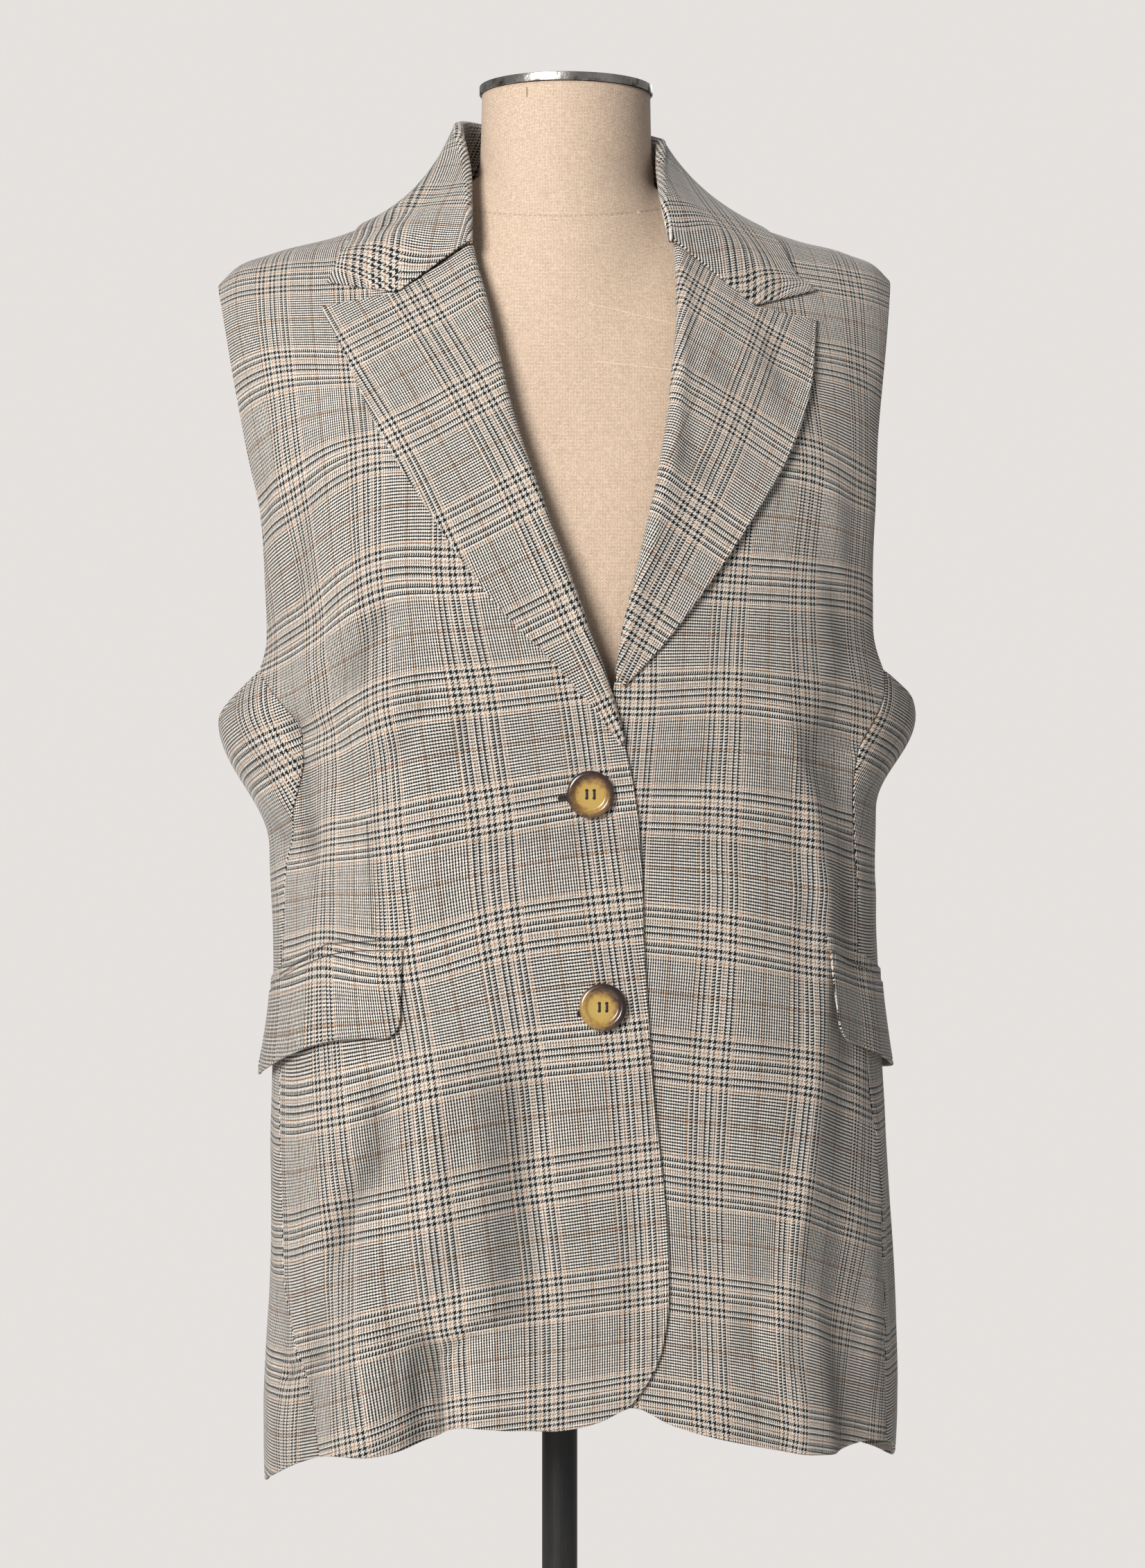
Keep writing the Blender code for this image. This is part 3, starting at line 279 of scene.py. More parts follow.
# The small creases: a line on the skin from one end to the other, its width and depth.
CREASES = table(
    "turn_a height_a turn_b height_b width out",
    (-86, 1.066, -66, 1.044, 0.007, -0.0018), (-80, 1.08, -62, 1.062, 0.008, 0.0016),
    (-70, 1.118, -54, 1.112, 0.006, -0.0018), (-74, 1.104, -56, 1.102, 0.006, 0.0014),
    (-61, 1.18, -57, 1.01, 0.009, 0.003), (-66, 1.15, -63, 1, 0.008, -0.0032),
    (-60, 1.14, -48, 1.205, 0.01, 0.0028), (-55, 1.13, -42, 1.2, 0.009, -0.0028),
    (-64, 1.17, -58, 1.29, 0.01, -0.0016), (-70, 1.2, -64, 1.32, 0.01, 0.0014),
    (-50, 1.27, -44, 1.35, 0.009, -0.0014), (-44, 1.26, -40, 1.33, 0.007, 0.001),
    (-46, 1.085, -34, 1.15, 0.007, -0.0024), (-34, 1.075, -25, 1.14, 0.008, -0.002),
    (-50, 1.06, -48, 0.99, 0.006, -0.0014), (-47, 0.86, -46, 0.63, 0.0125, 0.0072),
    (-37.6, 0.78, -36.4, 0.62, 0.0095, -0.0095), (-47.5, 0.92, -47.6, 0.83, 0.011, -0.0034),
    (-47.4, 0.87, -60, 0.78, 0.011, -0.0034), (-36.3, 0.96, -35.6, 0.74, 0.016, 0.0072),
    (-20, 0.96, -13.6, 0.72, 0.022, -0.0046), (-7, 0.92, -5, 0.74, 0.02, 0.0024),
    (-36.5, 0.741, -22, 0.768, 0.0042, -0.0032), (-35, 0.752, -20, 0.779, 0.0055, 0.0026),
    (-26, 0.762, -12, 0.777, 0.0042, -0.0026), (-71, 0.718, -62.5, 0.737, 0.004, -0.003),
    (-65, 0.737, -55, 0.741, 0.0034, -0.0018), (-68, 0.728, -58, 0.752, 0.006, 0.0012),
    (-60, 0.8, -62, 0.64, 0.012, -0.0022), (48, 1.14, 59.5, 1.06, 0.009, 0.0026),
    (57, 1.095, 60.4, 1, 0.009, 0.0034), (60.5, 1.04, 59.5, 0.95, 0.009, 0.0034),
    (60.3, 0.985, 53.5, 0.88, 0.009, 0.0034), (56.5, 0.92, 49.5, 0.81, 0.009, 0.0034),
    (51.6, 0.85, 44.6, 0.75, 0.0085, 0.0034), (46, 0.78, 43.6, 0.732, 0.0075, 0.003),
    (43, 0.752, 50, 0.7, 0.0075, 0.003), (46, 0.722, 52, 0.63, 0.008, 0.0032),
    (62, 1.11, 69.5, 1.02, 0.012, -0.003), (67, 1.06, 67, 0.93, 0.012, -0.0032),
    (67, 0.96, 59, 0.83, 0.012, -0.0032), (62, 0.87, 54, 0.75, 0.012, -0.0032),
    (56, 0.79, 57, 0.68, 0.012, -0.003), (58, 0.72, 61, 0.62, 0.011, -0.0026),
    (74, 0.9, 70, 0.79, 0.009, 0.0022), (68, 0.82, 66, 0.7, 0.009, 0.0024),
    (80, 0.86, 76, 0.7, 0.01, -0.002), (36, 0.78, 40, 0.735, 0.007, -0.0018),
    (66, 1.13, 60, 1.23, 0.01, -0.0022), (72, 1.15, 70, 1.3, 0.01, 0.0018),
    (60, 1.29, 63, 1.18, 0.008, 0.0016), (72, 1.096, 60, 1.128, 0.007, -0.0018),
    (78, 1.076, 66, 1.106, 0.007, 0.0014), (20, 1.075, 44, 1.1, 0.013, -0.0013),
    (16, 1.06, 44, 1.066, 0.012, 0.001), (18, 0.95, 44, 0.965, 0.013, -0.0011),
    (26, 0.9, 24, 0.72, 0.018, 0.0018), (14, 0.88, 12, 0.72, 0.013, -0.0014),
    (36.5, 1.385, 28, 1.235, 0.007, -0.0032), (32, 1.36, 25.5, 1.24, 0.007, 0.0016),
    (37, 1.338, 46, 1.316, 0.007, -0.0018), (26, 1.286, 41, 1.258, 0.008, -0.0018),
    (50, 1.365, 53.5, 1.29, 0.008, -0.0022), (-20.5, 1.37, -10.5, 1.25, 0.009, -0.0014),
    (-36, 1.36, -27, 1.3, 0.008, 0.0012), (-92, 1.06, -112, 1.04, 0.008, -0.0016),
    (-100, 1.01, -122, 1.02, 0.01, -0.0013), (94, 1.058, 114, 1.036, 0.008, -0.0015),
    (100, 1.006, 126, 1.018, 0.01, -0.0012), (-96, 0.9, -100, 0.7, 0.014, 0.0014),
    (-112, 0.88, -110, 0.69, 0.013, -0.0014), (96, 0.89, 99, 0.7, 0.013, -0.0014),
    (112, 0.9, 114, 0.69, 0.014, 0.0014), (-150, 1.06, 176, 1.03, 0.013, -0.0014),
    (-146, 1.03, 178, 1.006, 0.013, 0.0012), (150, 1.056, 184, 1.046, 0.012, -0.0012),
    (148, 1.02, 186, 1.024, 0.012, 0.001), (-164, 1.33, -148, 1.21, 0.013, -0.0013),
    (166, 1.33, 150, 1.22, 0.013, -0.0013), (-172, 0.93, -168, 0.72, 0.015, 0.0014),
    (158, 0.92, 160, 0.71, 0.015, 0.0013), (-136, 0.9, -134, 0.7, 0.014, -0.0013),
    (128, 0.9, 126, 0.7, 0.014, -0.0013),
)
BODY_RADIUS = 0.13
SEAM_TURN = math.degrees(SEAM / 2 / BODY_RADIUS)  # half a seam's air, as a turn


def smooth(rows, name, at):
    """Smooth value of a table's column, held at its ends."""
    keys = next(iter(rows.values()))
    values = rows[name]
    slopes = np.gradient(values, keys)
    at = np.clip(at, keys[0], keys[-1])
    low = np.clip(np.searchsorted(keys, at, side="right") - 1, 0, len(keys) - 2)
    span = keys[low + 1] - keys[low]
    t = (at - keys[low]) / span
    rise = t * t * (3 - 2 * t)
    start = slopes[low] * span * t * (1 - t) ** 2
    end = slopes[low + 1] * span * t * t * (t - 1)
    return values[low] * (1 - rise) + values[low + 1] * rise + start + end


def ramp(value, start, end):
    """0 before start, 1 after end, soft between."""
    t = np.clip((value - start) / (end - start), 0, 1)
    return t * t * (3 - 2 * t)


def unit(vectors):
    return vectors / np.maximum(np.linalg.norm(vectors, axis=-1, keepdims=True), 1e-12)


def joined(*parts):
    """Arrays of numbers side by side, as the places that they make up."""
    return np.stack(parts, axis=-1)


def wrap(turn):
    return (turn + 180) % 360 - 180


def shoulder(x):
    """Height of the shoulder line at an x."""
    return smooth(SHOULDER, "height", x)


def ring(z):
    """Middle, half width, and depth ahead of and behind the shoulder plane at a height."""
    left, right, front_y, back_y = (smooth(RINGS, column, z) for column in ("left", "right", "front", "back"))
    return (left + right) / 2, (right - left) / 2, RIDGE_Y - front_y, back_y - RIDGE_Y


def fold_out(turn, z):
    """How far the folds push the skin out at a turn and height."""
    out = np.zeros(np.broadcast(turn, z).shape)
    for fold in each(FOLDS):
        above = z - fold["height"]
        away = wrap(turn - fold["turn"] - fold["lean"] * above)
        along = np.abs(above) / np.where(above > 0, fold["up"], fold["down"])
        shape = np.cos(np.clip(np.abs(away) / fold["spread"], 0, 1) * np.pi / 2) ** 2
        out = out + fold["out"] * shape * np.cos(np.clip(along, 0, 1) * np.pi / 2) ** 2
    return out


def turn_at(x, z, back=False):
    """The turn in degrees from centre front (right is positive) at which the skin has this x."""
    middle, half, ahead, behind = ring(z)
    share = np.clip(np.abs(x - middle) / half, 0, 0.9995)
    reach = (1 - share ** SQUARE) ** (1 / SQUARE)
    return np.degrees(np.arctan2(x - middle, -behind * reach if back else ahead * reach))


def skin(turn, z, close=None):
    """Outer skin at a turn and height. close is the share of depth left by the shoulder's rounding."""
    middle, half, ahead, behind = ring(z)
    across = np.sin(np.radians(turn))
    along = np.cos(np.radians(turn))
    depth = np.where(along > 0, ahead, behind)
    reach = (np.abs(across / half) ** SQUARE + np.abs(along / depth) ** SQUARE) ** (-1 / SQUARE)
    x = middle + reach * across
    if close is None:
        part = np.clip((z - CHEST) / (shoulder(x) - CHEST), 0, 1)
        close = (1 - part ** 2) ** (1 / SQUARE)
    out = fold_out(turn, z)
    y = RIDGE_Y - reach * along * close
    return joined(x + out * across, y - out * along, z + 0 * x)


def rounded(rise):
    """Part of the way up to the shoulder seam, and depth left, at rise 0 to 1 (mirrored past 1)."""
    left = 1 - rise
    angle = np.pi / 2 * (1 - np.sign(left) * np.abs(left) ** SHOULDER_POWER)
    bend = np.cos(angle)
    return np.sin(angle), np.sign(bend) * np.abs(bend) ** (2 / SQUARE)


def climb(x_of, part):
    """Height and x of an edge that is x_of(height), at a part of the way from chest to shoulder."""
    z = CHEST + FIRST_CLIMB * part
    for _ in range(12):
        x = x_of(z)
        z = CHEST + (shoulder(x) - CHEST) * part
    return z, x


def panel(u, s, edge_a, edge_b, arm_a=None, arm_b=None, back=False, reach=CHEST, neck=None):
    """Turn, height and depth left of a panel: u from edge a to b, s from hem (0) by chest (1) to 2."""
    low_s = np.clip(s, -1, 1)
    bases = []
    for edge in (edge_a, edge_b):
        base = HEM_GUESS
        for _ in range(6):
            base = smooth(HEM, "height", wrap(edge(base)))
        bases.append(base)
    hem_turn = edge_a(bases[0]) * (1 - u) + edge_b(bases[1]) * u
    hem = smooth(HEM, "height", wrap(hem_turn))
    low_turns = [edge(base + (CHEST - base) * low_s) for base, edge in zip(bases, (edge_a, edge_b))]
    low_turn = low_turns[0] * (1 - u) + low_turns[1] * u
    low_z = hem + (reach - hem) * low_s
    if arm_a is None:
        return low_turn, low_z, np.ones_like(low_z)
    rise = np.clip(s - 1, 0, 1.5)
    for _ in range(2):
        part, close = rounded(rise)
        turns = []
        for arm in (arm_a, arm_b):
            z, x = climb(arm, part)
            turns.append(turn_at(x, z, back))
        if back:
            turns[1] = turns[1] - 360
        turn = turns[0] * (1 - u) + turns[1] * u
        z = CHEST + FIRST_CLIMB * part
        for _ in range(12):
            x = skin(turn, z, close)[..., 0]
            z = CHEST + (shoulder(x) - CHEST) * part
        if neck is None:
            break
        rise = np.clip(s - 1, 0, 1.5) * neck(x)
    above = s > 1
    return np.where(above, turn, low_turn), np.where(above, z, low_z), np.where(above, close, 1.0)


CREASE_STEPS = 8  # straight stretches in a crease's line
CREASE_FADE = 0.35  # share of its length in which it dies out at each end


def creased(points, turn, z):
    """How far the small creases and an uneven waviness move each point out or in."""
    out = 0.0003 * np.sin(turn * 0.31 + 26 * z) * np.sin(z * 47 + turn * 0.09)
    out += 0.00022 * np.sin(turn * 0.55 - 61 * z + 1.3) * np.sin(z * 21 - turn * 0.17 + 0.6)
    share = np.linspace(0, 1, CREASE_STEPS + 1)
    for c in each(CREASES):
        path = skin(c["turn_a"] + (c["turn_b"] - c["turn_a"]) * share,
                    c["height_a"] + (c["height_b"] - c["height_a"]) * share)
        low, high = path.min(axis=0) - 3 * c["width"], path.max(axis=0) + 3 * c["width"]
        near = np.all((points > low) & (points < high), axis=-1)
        if not near.any():
            continue
        found = points[near]
        best = np.full(len(found), 9.0)
        along = np.zeros(len(found))
        for j in range(CREASE_STEPS):
            step = path[j + 1] - path[j]
            t = np.clip(((found - path[j]) @ step) / (step @ step), 0, 1)
            gap = np.linalg.norm(found - path[j] - t[:, None] * step, axis=-1)
            closer = gap < best
            best = np.where(closer, gap, best)
            along = np.where(closer, (j + t) / CREASE_STEPS, along)
        fade = ramp(along, 0, CREASE_FADE) * ramp(-along, -1, CREASE_FADE - 1)
        out[near] += c["out"] * fade * np.exp(-(best / c["width"]) ** 2)
    return out


def length(path):
    return np.linalg.norm(np.diff(path, axis=0), axis=-1).sum(axis=0)


def run_along(path):
    """How far along a path each of its points lies."""
    return np.concatenate([[0], np.cumsum(np.linalg.norm(np.diff(path, axis=0), axis=-1))])


def unrolled(turn, z, centre):
    """Lengths along the skin to each point: level from the centre's turn, and up from the chest."""
    turn, z = np.asarray(turn, dtype=float), np.asarray(z, dtype=float)
    share = np.linspace(0, 1, 17).reshape(-1, *[1] * turn.ndim)
    level = length(skin(centre + (turn - centre) * share, z + 0 * share))
    upright = length(skin(turn + 0 * share, CHEST + (z - CHEST) * share))
    return joined(level * np.sign(turn - centre), upright * np.sign(z - CHEST))


DECIMETRES = 10  # the map is worked out in decimetres, which keeps its equations even


def fitted(known, wanted, stiff=1e-6):
    """A smooth map from places on a piece to places in the check, through the known ones."""
    known = known * DECIMETRES
    count = len(known)

    def bulge(gap):
        square = np.sum(gap ** 2, axis=-1)
        return square * np.log(square + 1e-12) / 2

    plain = np.column_stack([np.ones(count), known])
    system = np.zeros((count + 3, count + 3))
    system[:count, :count] = bulge(known[:, None] - known[None]) + stiff * np.eye(count)
    system[:count, count:], system[count:, :count] = plain, plain.T
    weights = np.linalg.solve(system, np.vstack([wanted, np.zeros((3, 2))]))

    def mapped(places):
        at = places.reshape(-1, 2) * DECIMETRES
        found = np.column_stack([np.ones(len(at)), at]) @ weights[count:]
        for start in range(0, len(at), 4096):
            part = slice(start, start + 4096)
            found[part] += bulge(at[part, None] - known[None]) @ weights[:count]
        return found.reshape(places.shape)

    return mapped


def charted(squares, centre=0.0):
    known = unrolled(squares["turn"], squares["height"], centre)
    mapped = fitted(known, joined(squares["column"], squares["row"]))
    return lambda turn, z: mapped(unrolled(turn, z, centre))


EDGE_PLACES = np.array([0.0, 0.00012, 0.0004, 0.0009, 0.0018, 0.0024, 0.0029, 0.0034, 0.0042])


def places(width, gap):
    """Places across a piece, in metres: close together at both edges, where it rounds and is sewn."""
    deep = EDGE_PLACES[-1]
    count = max(3, int(round((np.max(width) - 2 * deep) / gap)))
    inner = np.linspace(0, 1, count + 1)[1:-1]
    width = np.atleast_1d(width)[:, None]
    near = EDGE_PLACES[None] * np.minimum(1, width / (2.6 * deep))
    middle = near[:, -1:] + (width - 2 * near[:, -1:]) * inner[None]
    return np.hstack([near, middle, width - near[:, ::-1]]) / width


def wall(depth):
    """Share of a wall's full half thickness, from its very edge (0) to past its rounding (1)."""
    return np.sqrt(np.clip(1 - (1 - np.clip(depth, 0, 1)) ** 2, 0.02, 1))


STITCH_IN, STITCH_WIDE, STITCH_DEEP = 0.0029, 0.0007, 0.00042
CREASE_SHADE_FROM, CREASE_SHADE_FULL = 0.0006, 0.0042  # crease depths between which painted shade darkens the cloth
STEP = 0.0015  # share of a piece over which its slope is measured


def stitched(from_edge):
    """How deep the channel of an edge's stitching is, as a share, at a distance from that edge."""
    return np.exp(-((from_edge - STITCH_IN) / STITCH_WIDE) ** 2)


def cut(name, turned, chart, top=1.0, gap=0.0038, lift=None, thick=CLOTH, sewn="", sinks=None, place=None):
    """Cuts one piece of cloth from the skin: a closed wall with rounded edges and its check.

    turned(u, s) gives turn, height and depth left. lift is how far its under side lies above the
    skin; a plain panel lies under it. sewn names the edges ("ablt": u low, u high, foot, top) that
    are stitched through a few millimetres in, which shows as a soft channel.
    """
    spot = place or (lambda u, s: skin(*turned(u, s)))
    fine = np.linspace(0, 1, 33)
    across, up = np.meshgrid(fine, fine * top, indexing="ij")
    widths, heights = length(spot(across, up)), length(spot(across.T, up.T))
    rows = places([heights.max()], gap)[0]
    across = places(np.interp(rows, fine, widths), gap)
    tall = np.interp(across, fine, heights)
    up = rows[:, None] * np.ones_like(across)
    s = up * top
    points = spot(across, s)
    side_step = spot(across + STEP, s) - spot(across - STEP, s)
    low, high = np.clip(s - STEP, 0, top), np.clip(s + STEP, 0, top)
    normal = unit(np.cross(side_step, spot(across, high) - spot(across, low)))
    outward = np.sum(normal * (points - np.array(MIDDLE)) * np.array([1, 1, 0.3]), axis=-1)
    normal *= np.sign(np.median(outward))
    turn, z, _ = turned(across, s)
    raised = -thick if lift is None else lift(across, s, points)
    crease = creased(points, turn, z)
    raised = raised - (0 if sinks is None else sinks(points)) + crease
    wide = np.interp(rows, fine, widths)[:, None]
    edges = {"a": across * wide, "b": (1 - across) * wide, "l": up * tall, "t": (1 - up) * tall}
    near = np.minimum.reduce(list(edges.values()))
    half = thick / 2 * wall(near / (thick / 2))
    channel = np.maximum.reduce([0 * near, *(stitched(edges[edge]) for edge in sewn)])
    middle = points + normal * (raised + thick / 2)[..., None]
    outer = middle + normal * (half - STITCH_DEEP * channel)[..., None]
    inner = middle - normal * half[..., None]
    # Painted shade: the deeper a point lies in a crease, the darker its cloth is painted.
    hollow = np.clip((-crease - CREASE_SHADE_FROM) / (CREASE_SHADE_FULL - CREASE_SHADE_FROM), 0, 1)
    return sew(name, outer, inner, chart(turn, z), hollow)


def sew(name, outer, inner, check, hollow=None):
    """Joins an outer and an inner layer of points into a closed wall that carries its check.

    Its last argument is how deep in a crease each point lies, from 0 to 1, which paints shade into the cloth
    there.
    """
    rows, columns = outer.shape[:2]
    count = rows * columns
    index = np.arange(count).reshape(rows, columns)
    quads = joined(index[:-1, :-1], index[:-1, 1:], index[1:, 1:], index[1:, :-1]).reshape(-1, 4)
    rim = np.concatenate([index[0, :-1], index[:-1, -1], index[-1, :0:-1], index[:0:-1, 0]])
    after = np.roll(rim, -1)
    faces = np.vstack([quads, quads[:, ::-1] + count, joined(after, rim, rim + count, after + count)])
    mesh = bpy.data.meshes.new(f"{name}_cloth")
    mesh.from_pydata(np.vstack([outer.reshape(-1, 3), inner.reshape(-1, 3)]).tolist(), [], faces.tolist())
    solid = bmesh.new()
    solid.from_mesh(mesh)
    bmesh.ops.recalc_face_normals(solid, faces=solid.faces)
    solid.to_mesh(mesh)
    solid.free()
    both = np.vstack([check.reshape(-1, 2)] * 2)
    corner = np.empty(len(mesh.loops), dtype=np.int32)
    mesh.loops.foreach_get("vertex_index", corner)
    mesh.uv_layers.new(name="check").data.foreach_set("uv", both[corner].astype(np.float32).ravel())
    # The crease depths go on the mesh for the cloth's painted shade.
    if hollow is not None:
        depth = mesh.attributes.new("hollow", "FLOAT", "POINT")
        depth.data.foreach_set("value", np.tile(hollow.ravel(), 2).astype(np.float32))
    mesh.shade_smooth()
    thing = bpy.data.objects.new(f"{name}_cloth", mesh)
    scene.collection.objects.link(thing)
    return thing


def sunk(points, column):
    """How far the under front lies behind the skin at these points."""
    if column == "over":
        return 0
    beside = ramp(points[..., 0], *UNDERLAP_ENDS["x"])
    above = ramp(points[..., 2], *UNDERLAP_ENDS["height"])
    return UNDERLAP * (1 - beside) * (1 - above)


UNDER_ROLL = 0.0030  # how far a front ends inside the turned-back lapel's roll
ROLL_FOOT, ROLL_RISE = {"over": 1.112, "under": 1.152}, 0.030  # height at which each roll starts, and opens


def front_edge(edge):
    """x of a front's own edge at a height: its roll line, less the tuck under lapel and collar."""
    hand = -1 if edge == "over" else 1

    def edge_x(z):
        inside = UNDER_ROLL * ramp(z, ROLL_FOOT[edge], ROLL_FOOT[edge] + ROLL_RISE)
        return smooth(FRONT_EDGE, edge, z) + hand * (smooth(FRONT_EDGE, "tuck", z) + inside)

    return edge_x


def side_seam(side):
    shift = SEAM_TURN if side == "left" else -SEAM_TURN
    return lambda z: turn_at(smooth(SIDE_SEAM, side, z), z) + shift


# The check: a 2/2 twill of near-black and cream yarn, in bands of four and four with pairs of tan
# threads between, and a ground of two and two with one tan pair in its middle.
WARPS, WEFTS = 152, 154  # threads from one dark square to the next
BAND, GROUP = 68, 22  # threads in a band of four and four, and from one tan pair in it to the next
DARK_YARN, LIGHT_YARN, TAN_YARN = (0.0060, 0.0056, 0.0075), (0.820, 0.765, 0.695), (0.540, 0.285, 0.140)
DART_AT, DART_LINE = (-0.1137, 1.0379, 0.05), 0.0009  # a point on it and its lean; its half width
MOUTH_SHADOW_AT, MOUTH_SHADOW_LINE = (-0.1394, 0.9860, 0.080), 0.0011  # the same for the painted shadow in the pocket mouth over the left flap


def parts(tree, vector):
    """The numbers that make up a vector."""
    return [Wire(tree, part) for part in node(tree, "SeparateXYZ", None, vector).socket.node.outputs]


def by_chance(tree, number):
    """A number from 0 to 1 that is another for each thread."""
    return node(tree, "TexWhiteNoise", {"noise_dimensions": "1D"}, None, number)


def glen_check():
    made, tree, shader = finish_of("glen_check", Roughness=0.86, Sheen_Weight=0.22, Sheen_Roughness=0.45,
                                   Specular_IOR_Level=0.25)
    check_at = parts(tree, node(tree, "UVMap", {"uv_map": "check"}))
    yarns = []
    for axis, (count, tan_at, dimmed) in enumerate(((WARPS, 40, 0.24), (WEFTS, 44, 0.14))):
        along = check_at[axis] * count
        thread = along.floor()
        place = (thread + BAND / 2) % count
        band = place < BAND
        group = place % GROUP
        fine = place - BAND
        dark = band * (((group + 6) % 8) > 3.5) + (1 - band) * ((fine % 4) > 1.5)
        tan = (band * (group < 1.5) + (1 - band) * (abs(fine - (tan_at + 0.5)) < 1) * 0.75).clamp()
        shade = by_chance(tree, thread + axis * 7001)
        coloured = blend(tree, tan, blend(tree, dark, LIGHT_YARN, DARK_YARN), TAN_YARN)
        yarns.append((coloured, thread, along % 1 - 0.5, shade - band * dimmed * 3))
    (warp, warp_thread, in_warp, warp_shade), (weft, weft_thread, in_weft, weft_shade) = yarns
    over = ((warp_thread - weft_thread) % 4) < 1.5
    colour = blend(tree, over, weft, warp)
    uneven = warp_shade * over + weft_shade * (1 - over)
    valley = (in_warp * in_warp) * over + (in_weft * in_weft) * (1 - over)
    where = node(tree, "TexCoord", out=3)
    cloudy = noise(tree, where, 9, 3)
    speck = by_chance(tree, warp_thread * 13.7 + weft_thread * 1931.3)
    # Painted shade: each yarn is darker towards its sides, in the gaps between threads; the valley also
    # shapes the bump.
    light = (1.03 - valley * 2.3) * (0.90 + uneven * 0.33) * (0.90 + cloudy * 0.12) * (0.70 + speck * 0.50)
    x, y, z = parts(tree, where)
    off_dart = abs(x - DART_AT[0] - (DART_AT[1] - z) * DART_AT[2])
    dart = (1 - off_dart * (1 / DART_LINE)).clamp() * (abs(z - 1.026) < 0.034) * 0.7
    # Painted shadow: a dark line in the mouth of the left pocket, over its jet, where the cloth above gapes.
    from_bend = x - MOUTH_SHADOW_AT[0]
    off_mouth_shadow = abs(z - MOUTH_SHADOW_AT[1] - from_bend * ((from_bend < 0) * 0.566 + MOUTH_SHADOW_AT[2]))
    mouth_shadow = (1 - off_mouth_shadow * (1 / MOUTH_SHADOW_LINE)).clamp() * (abs(x + 0.1308) < 0.0402)
    # Painted shade in the creases, read from the crease depths on the mesh.
    hollow = node(tree, "Attribute", {"attribute_name": "hollow"}, out=2)
    light = light * (1 - (dart + mouth_shadow * 0.85) * (y < 0)) * (1 - hollow * 0.42)
    toned = node(tree, "VectorMath", {"operation": "SCALE"}, colour, Scale=light)
    bump = node(tree, "Bump", None, Strength=0.35, Distance=0.00012, Height=1 - valley * 3)
    feed(tree, shader, Base_Color=toned, Normal=bump)
    return made


CHECK = glen_check()


def squares(*rows):
    """A table of dark squares: column and row of the check, and the turn and height where it lies."""
    return table("column row turn height", *rows)


# Where the dark squares of the check fall on the left front and its flap, then on the right.
OVER_CHART = charted(squares(
    (-2, 9, -64.3, 1.3926), (-2, 8, -63.9, 1.334), (-2, 7, -63.1, 1.2571), (-2, 6, -58.7, 1.1808),
    (-2, 5, -59, 1.111), (-2, 4, -59.3, 1.0463), (-2, 3, -60.5, 0.981), (-1, 8, -48.7, 1.3329),
    (-1, 7, -47.6, 1.2803), (-1, 6, -46.9, 1.2047), (0, 6, -29, 1.2077), (-1, 5, -46.8, 1.128),
    (0, 5, -24.8, 1.1372), (-1, 4, -45.8, 1.0529), (0, 4, -21.7, 1.0658), (1, 4, 5.8, 1.0765),
    (-1, 3, -43.6, 0.9762), (0, 3, -19.7, 0.9936), (1, 3, 9.3, 1.003), (-2, 2, -57.7, 0.8899),
    (-1, 2, -38.5, 0.9072), (0, 2, -14.9, 0.9205), (1, 2, 12.7, 0.927), (-2, 1, -55.1, 0.8197),
    (-1, 1, -35, 0.8339), (0, 1, -11.9, 0.8473), (1, 1, 14, 0.8566), (-2, 0, -52.6, 0.748),
    (-1, 0, -32.8, 0.7667), (0, 0, -9.2, 0.7788), (1, 0, 14.3, 0.786), (-2, -1, -49.2, 0.6839),
    (-1, -1, -30.2, 0.7072), (0, -1, -8.4, 0.7152), (1, -1, 14.3, 0.724),
))
UNDER_CHART = charted(squares(
    (3, 8, 67.1, 1.3894), (3, 7, 67.8, 1.3362), (3, 6, 67.5, 1.2634), (3, 5, 67, 1.1992),
    (2, 6, 57, 1.2764), (0, 5, 18.7, 1.2076), (1, 5, 39.4, 1.2035), (2, 5, 54.2, 1.2016),
    (0, 4, 18.8, 1.1343), (1, 4, 38.5, 1.1365), (2, 4, 55.9, 1.1312), (1, 3, 37.9, 1.0653),
    (2, 3, 57.2, 1.0573), (1, 2, 36.8, 0.9913), (2, 2, 55.8, 0.9805), (1, 1, 33.2, 0.9168),
    (2, 1, 53.8, 0.909), (1, 0, 30.6, 0.8452), (2, 0, 49.3, 0.8356), (3, 0, 64.4, 0.8189),
    (1, -1, 29.8, 0.7797), (2, -1, 46.4, 0.7709), (3, -1, 58.8, 0.7574), (1, -2, 29.7, 0.7139),
    (2, -2, 47, 0.7001), (3, -2, 57.1, 0.692),
))


def place_on_stand(piece, finish, solid=None):
    """A finished piece takes its material, rides on the stand and stands for its solid, if it has one."""
    piece.data.materials.append(finish)
    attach(piece, "root")
    if solid:
        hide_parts(solid)


def dress(piece, solid):
    """A cut piece takes the check, rides on the stand and stands for its solid."""
    place_on_stand(piece, CHECK, solid)


def front(name, side, edge, chart):
    edge_x = front_edge(edge)

    def turned(u, s):
        return panel(u, s, lambda z: turn_at(edge_x(z), z), side_seam(side),
                     edge_x, lambda z: smooth(FRONT_ARMHOLE, side, z))

    piece = cut(name, turned, chart, top=1.998, sewn="al", sinks=lambda points: sunk(points, edge))
    dress(piece, name)


front("front_over", "left", "over", OVER_CHART)
front("front_under", "right", "under", UNDER_CHART)

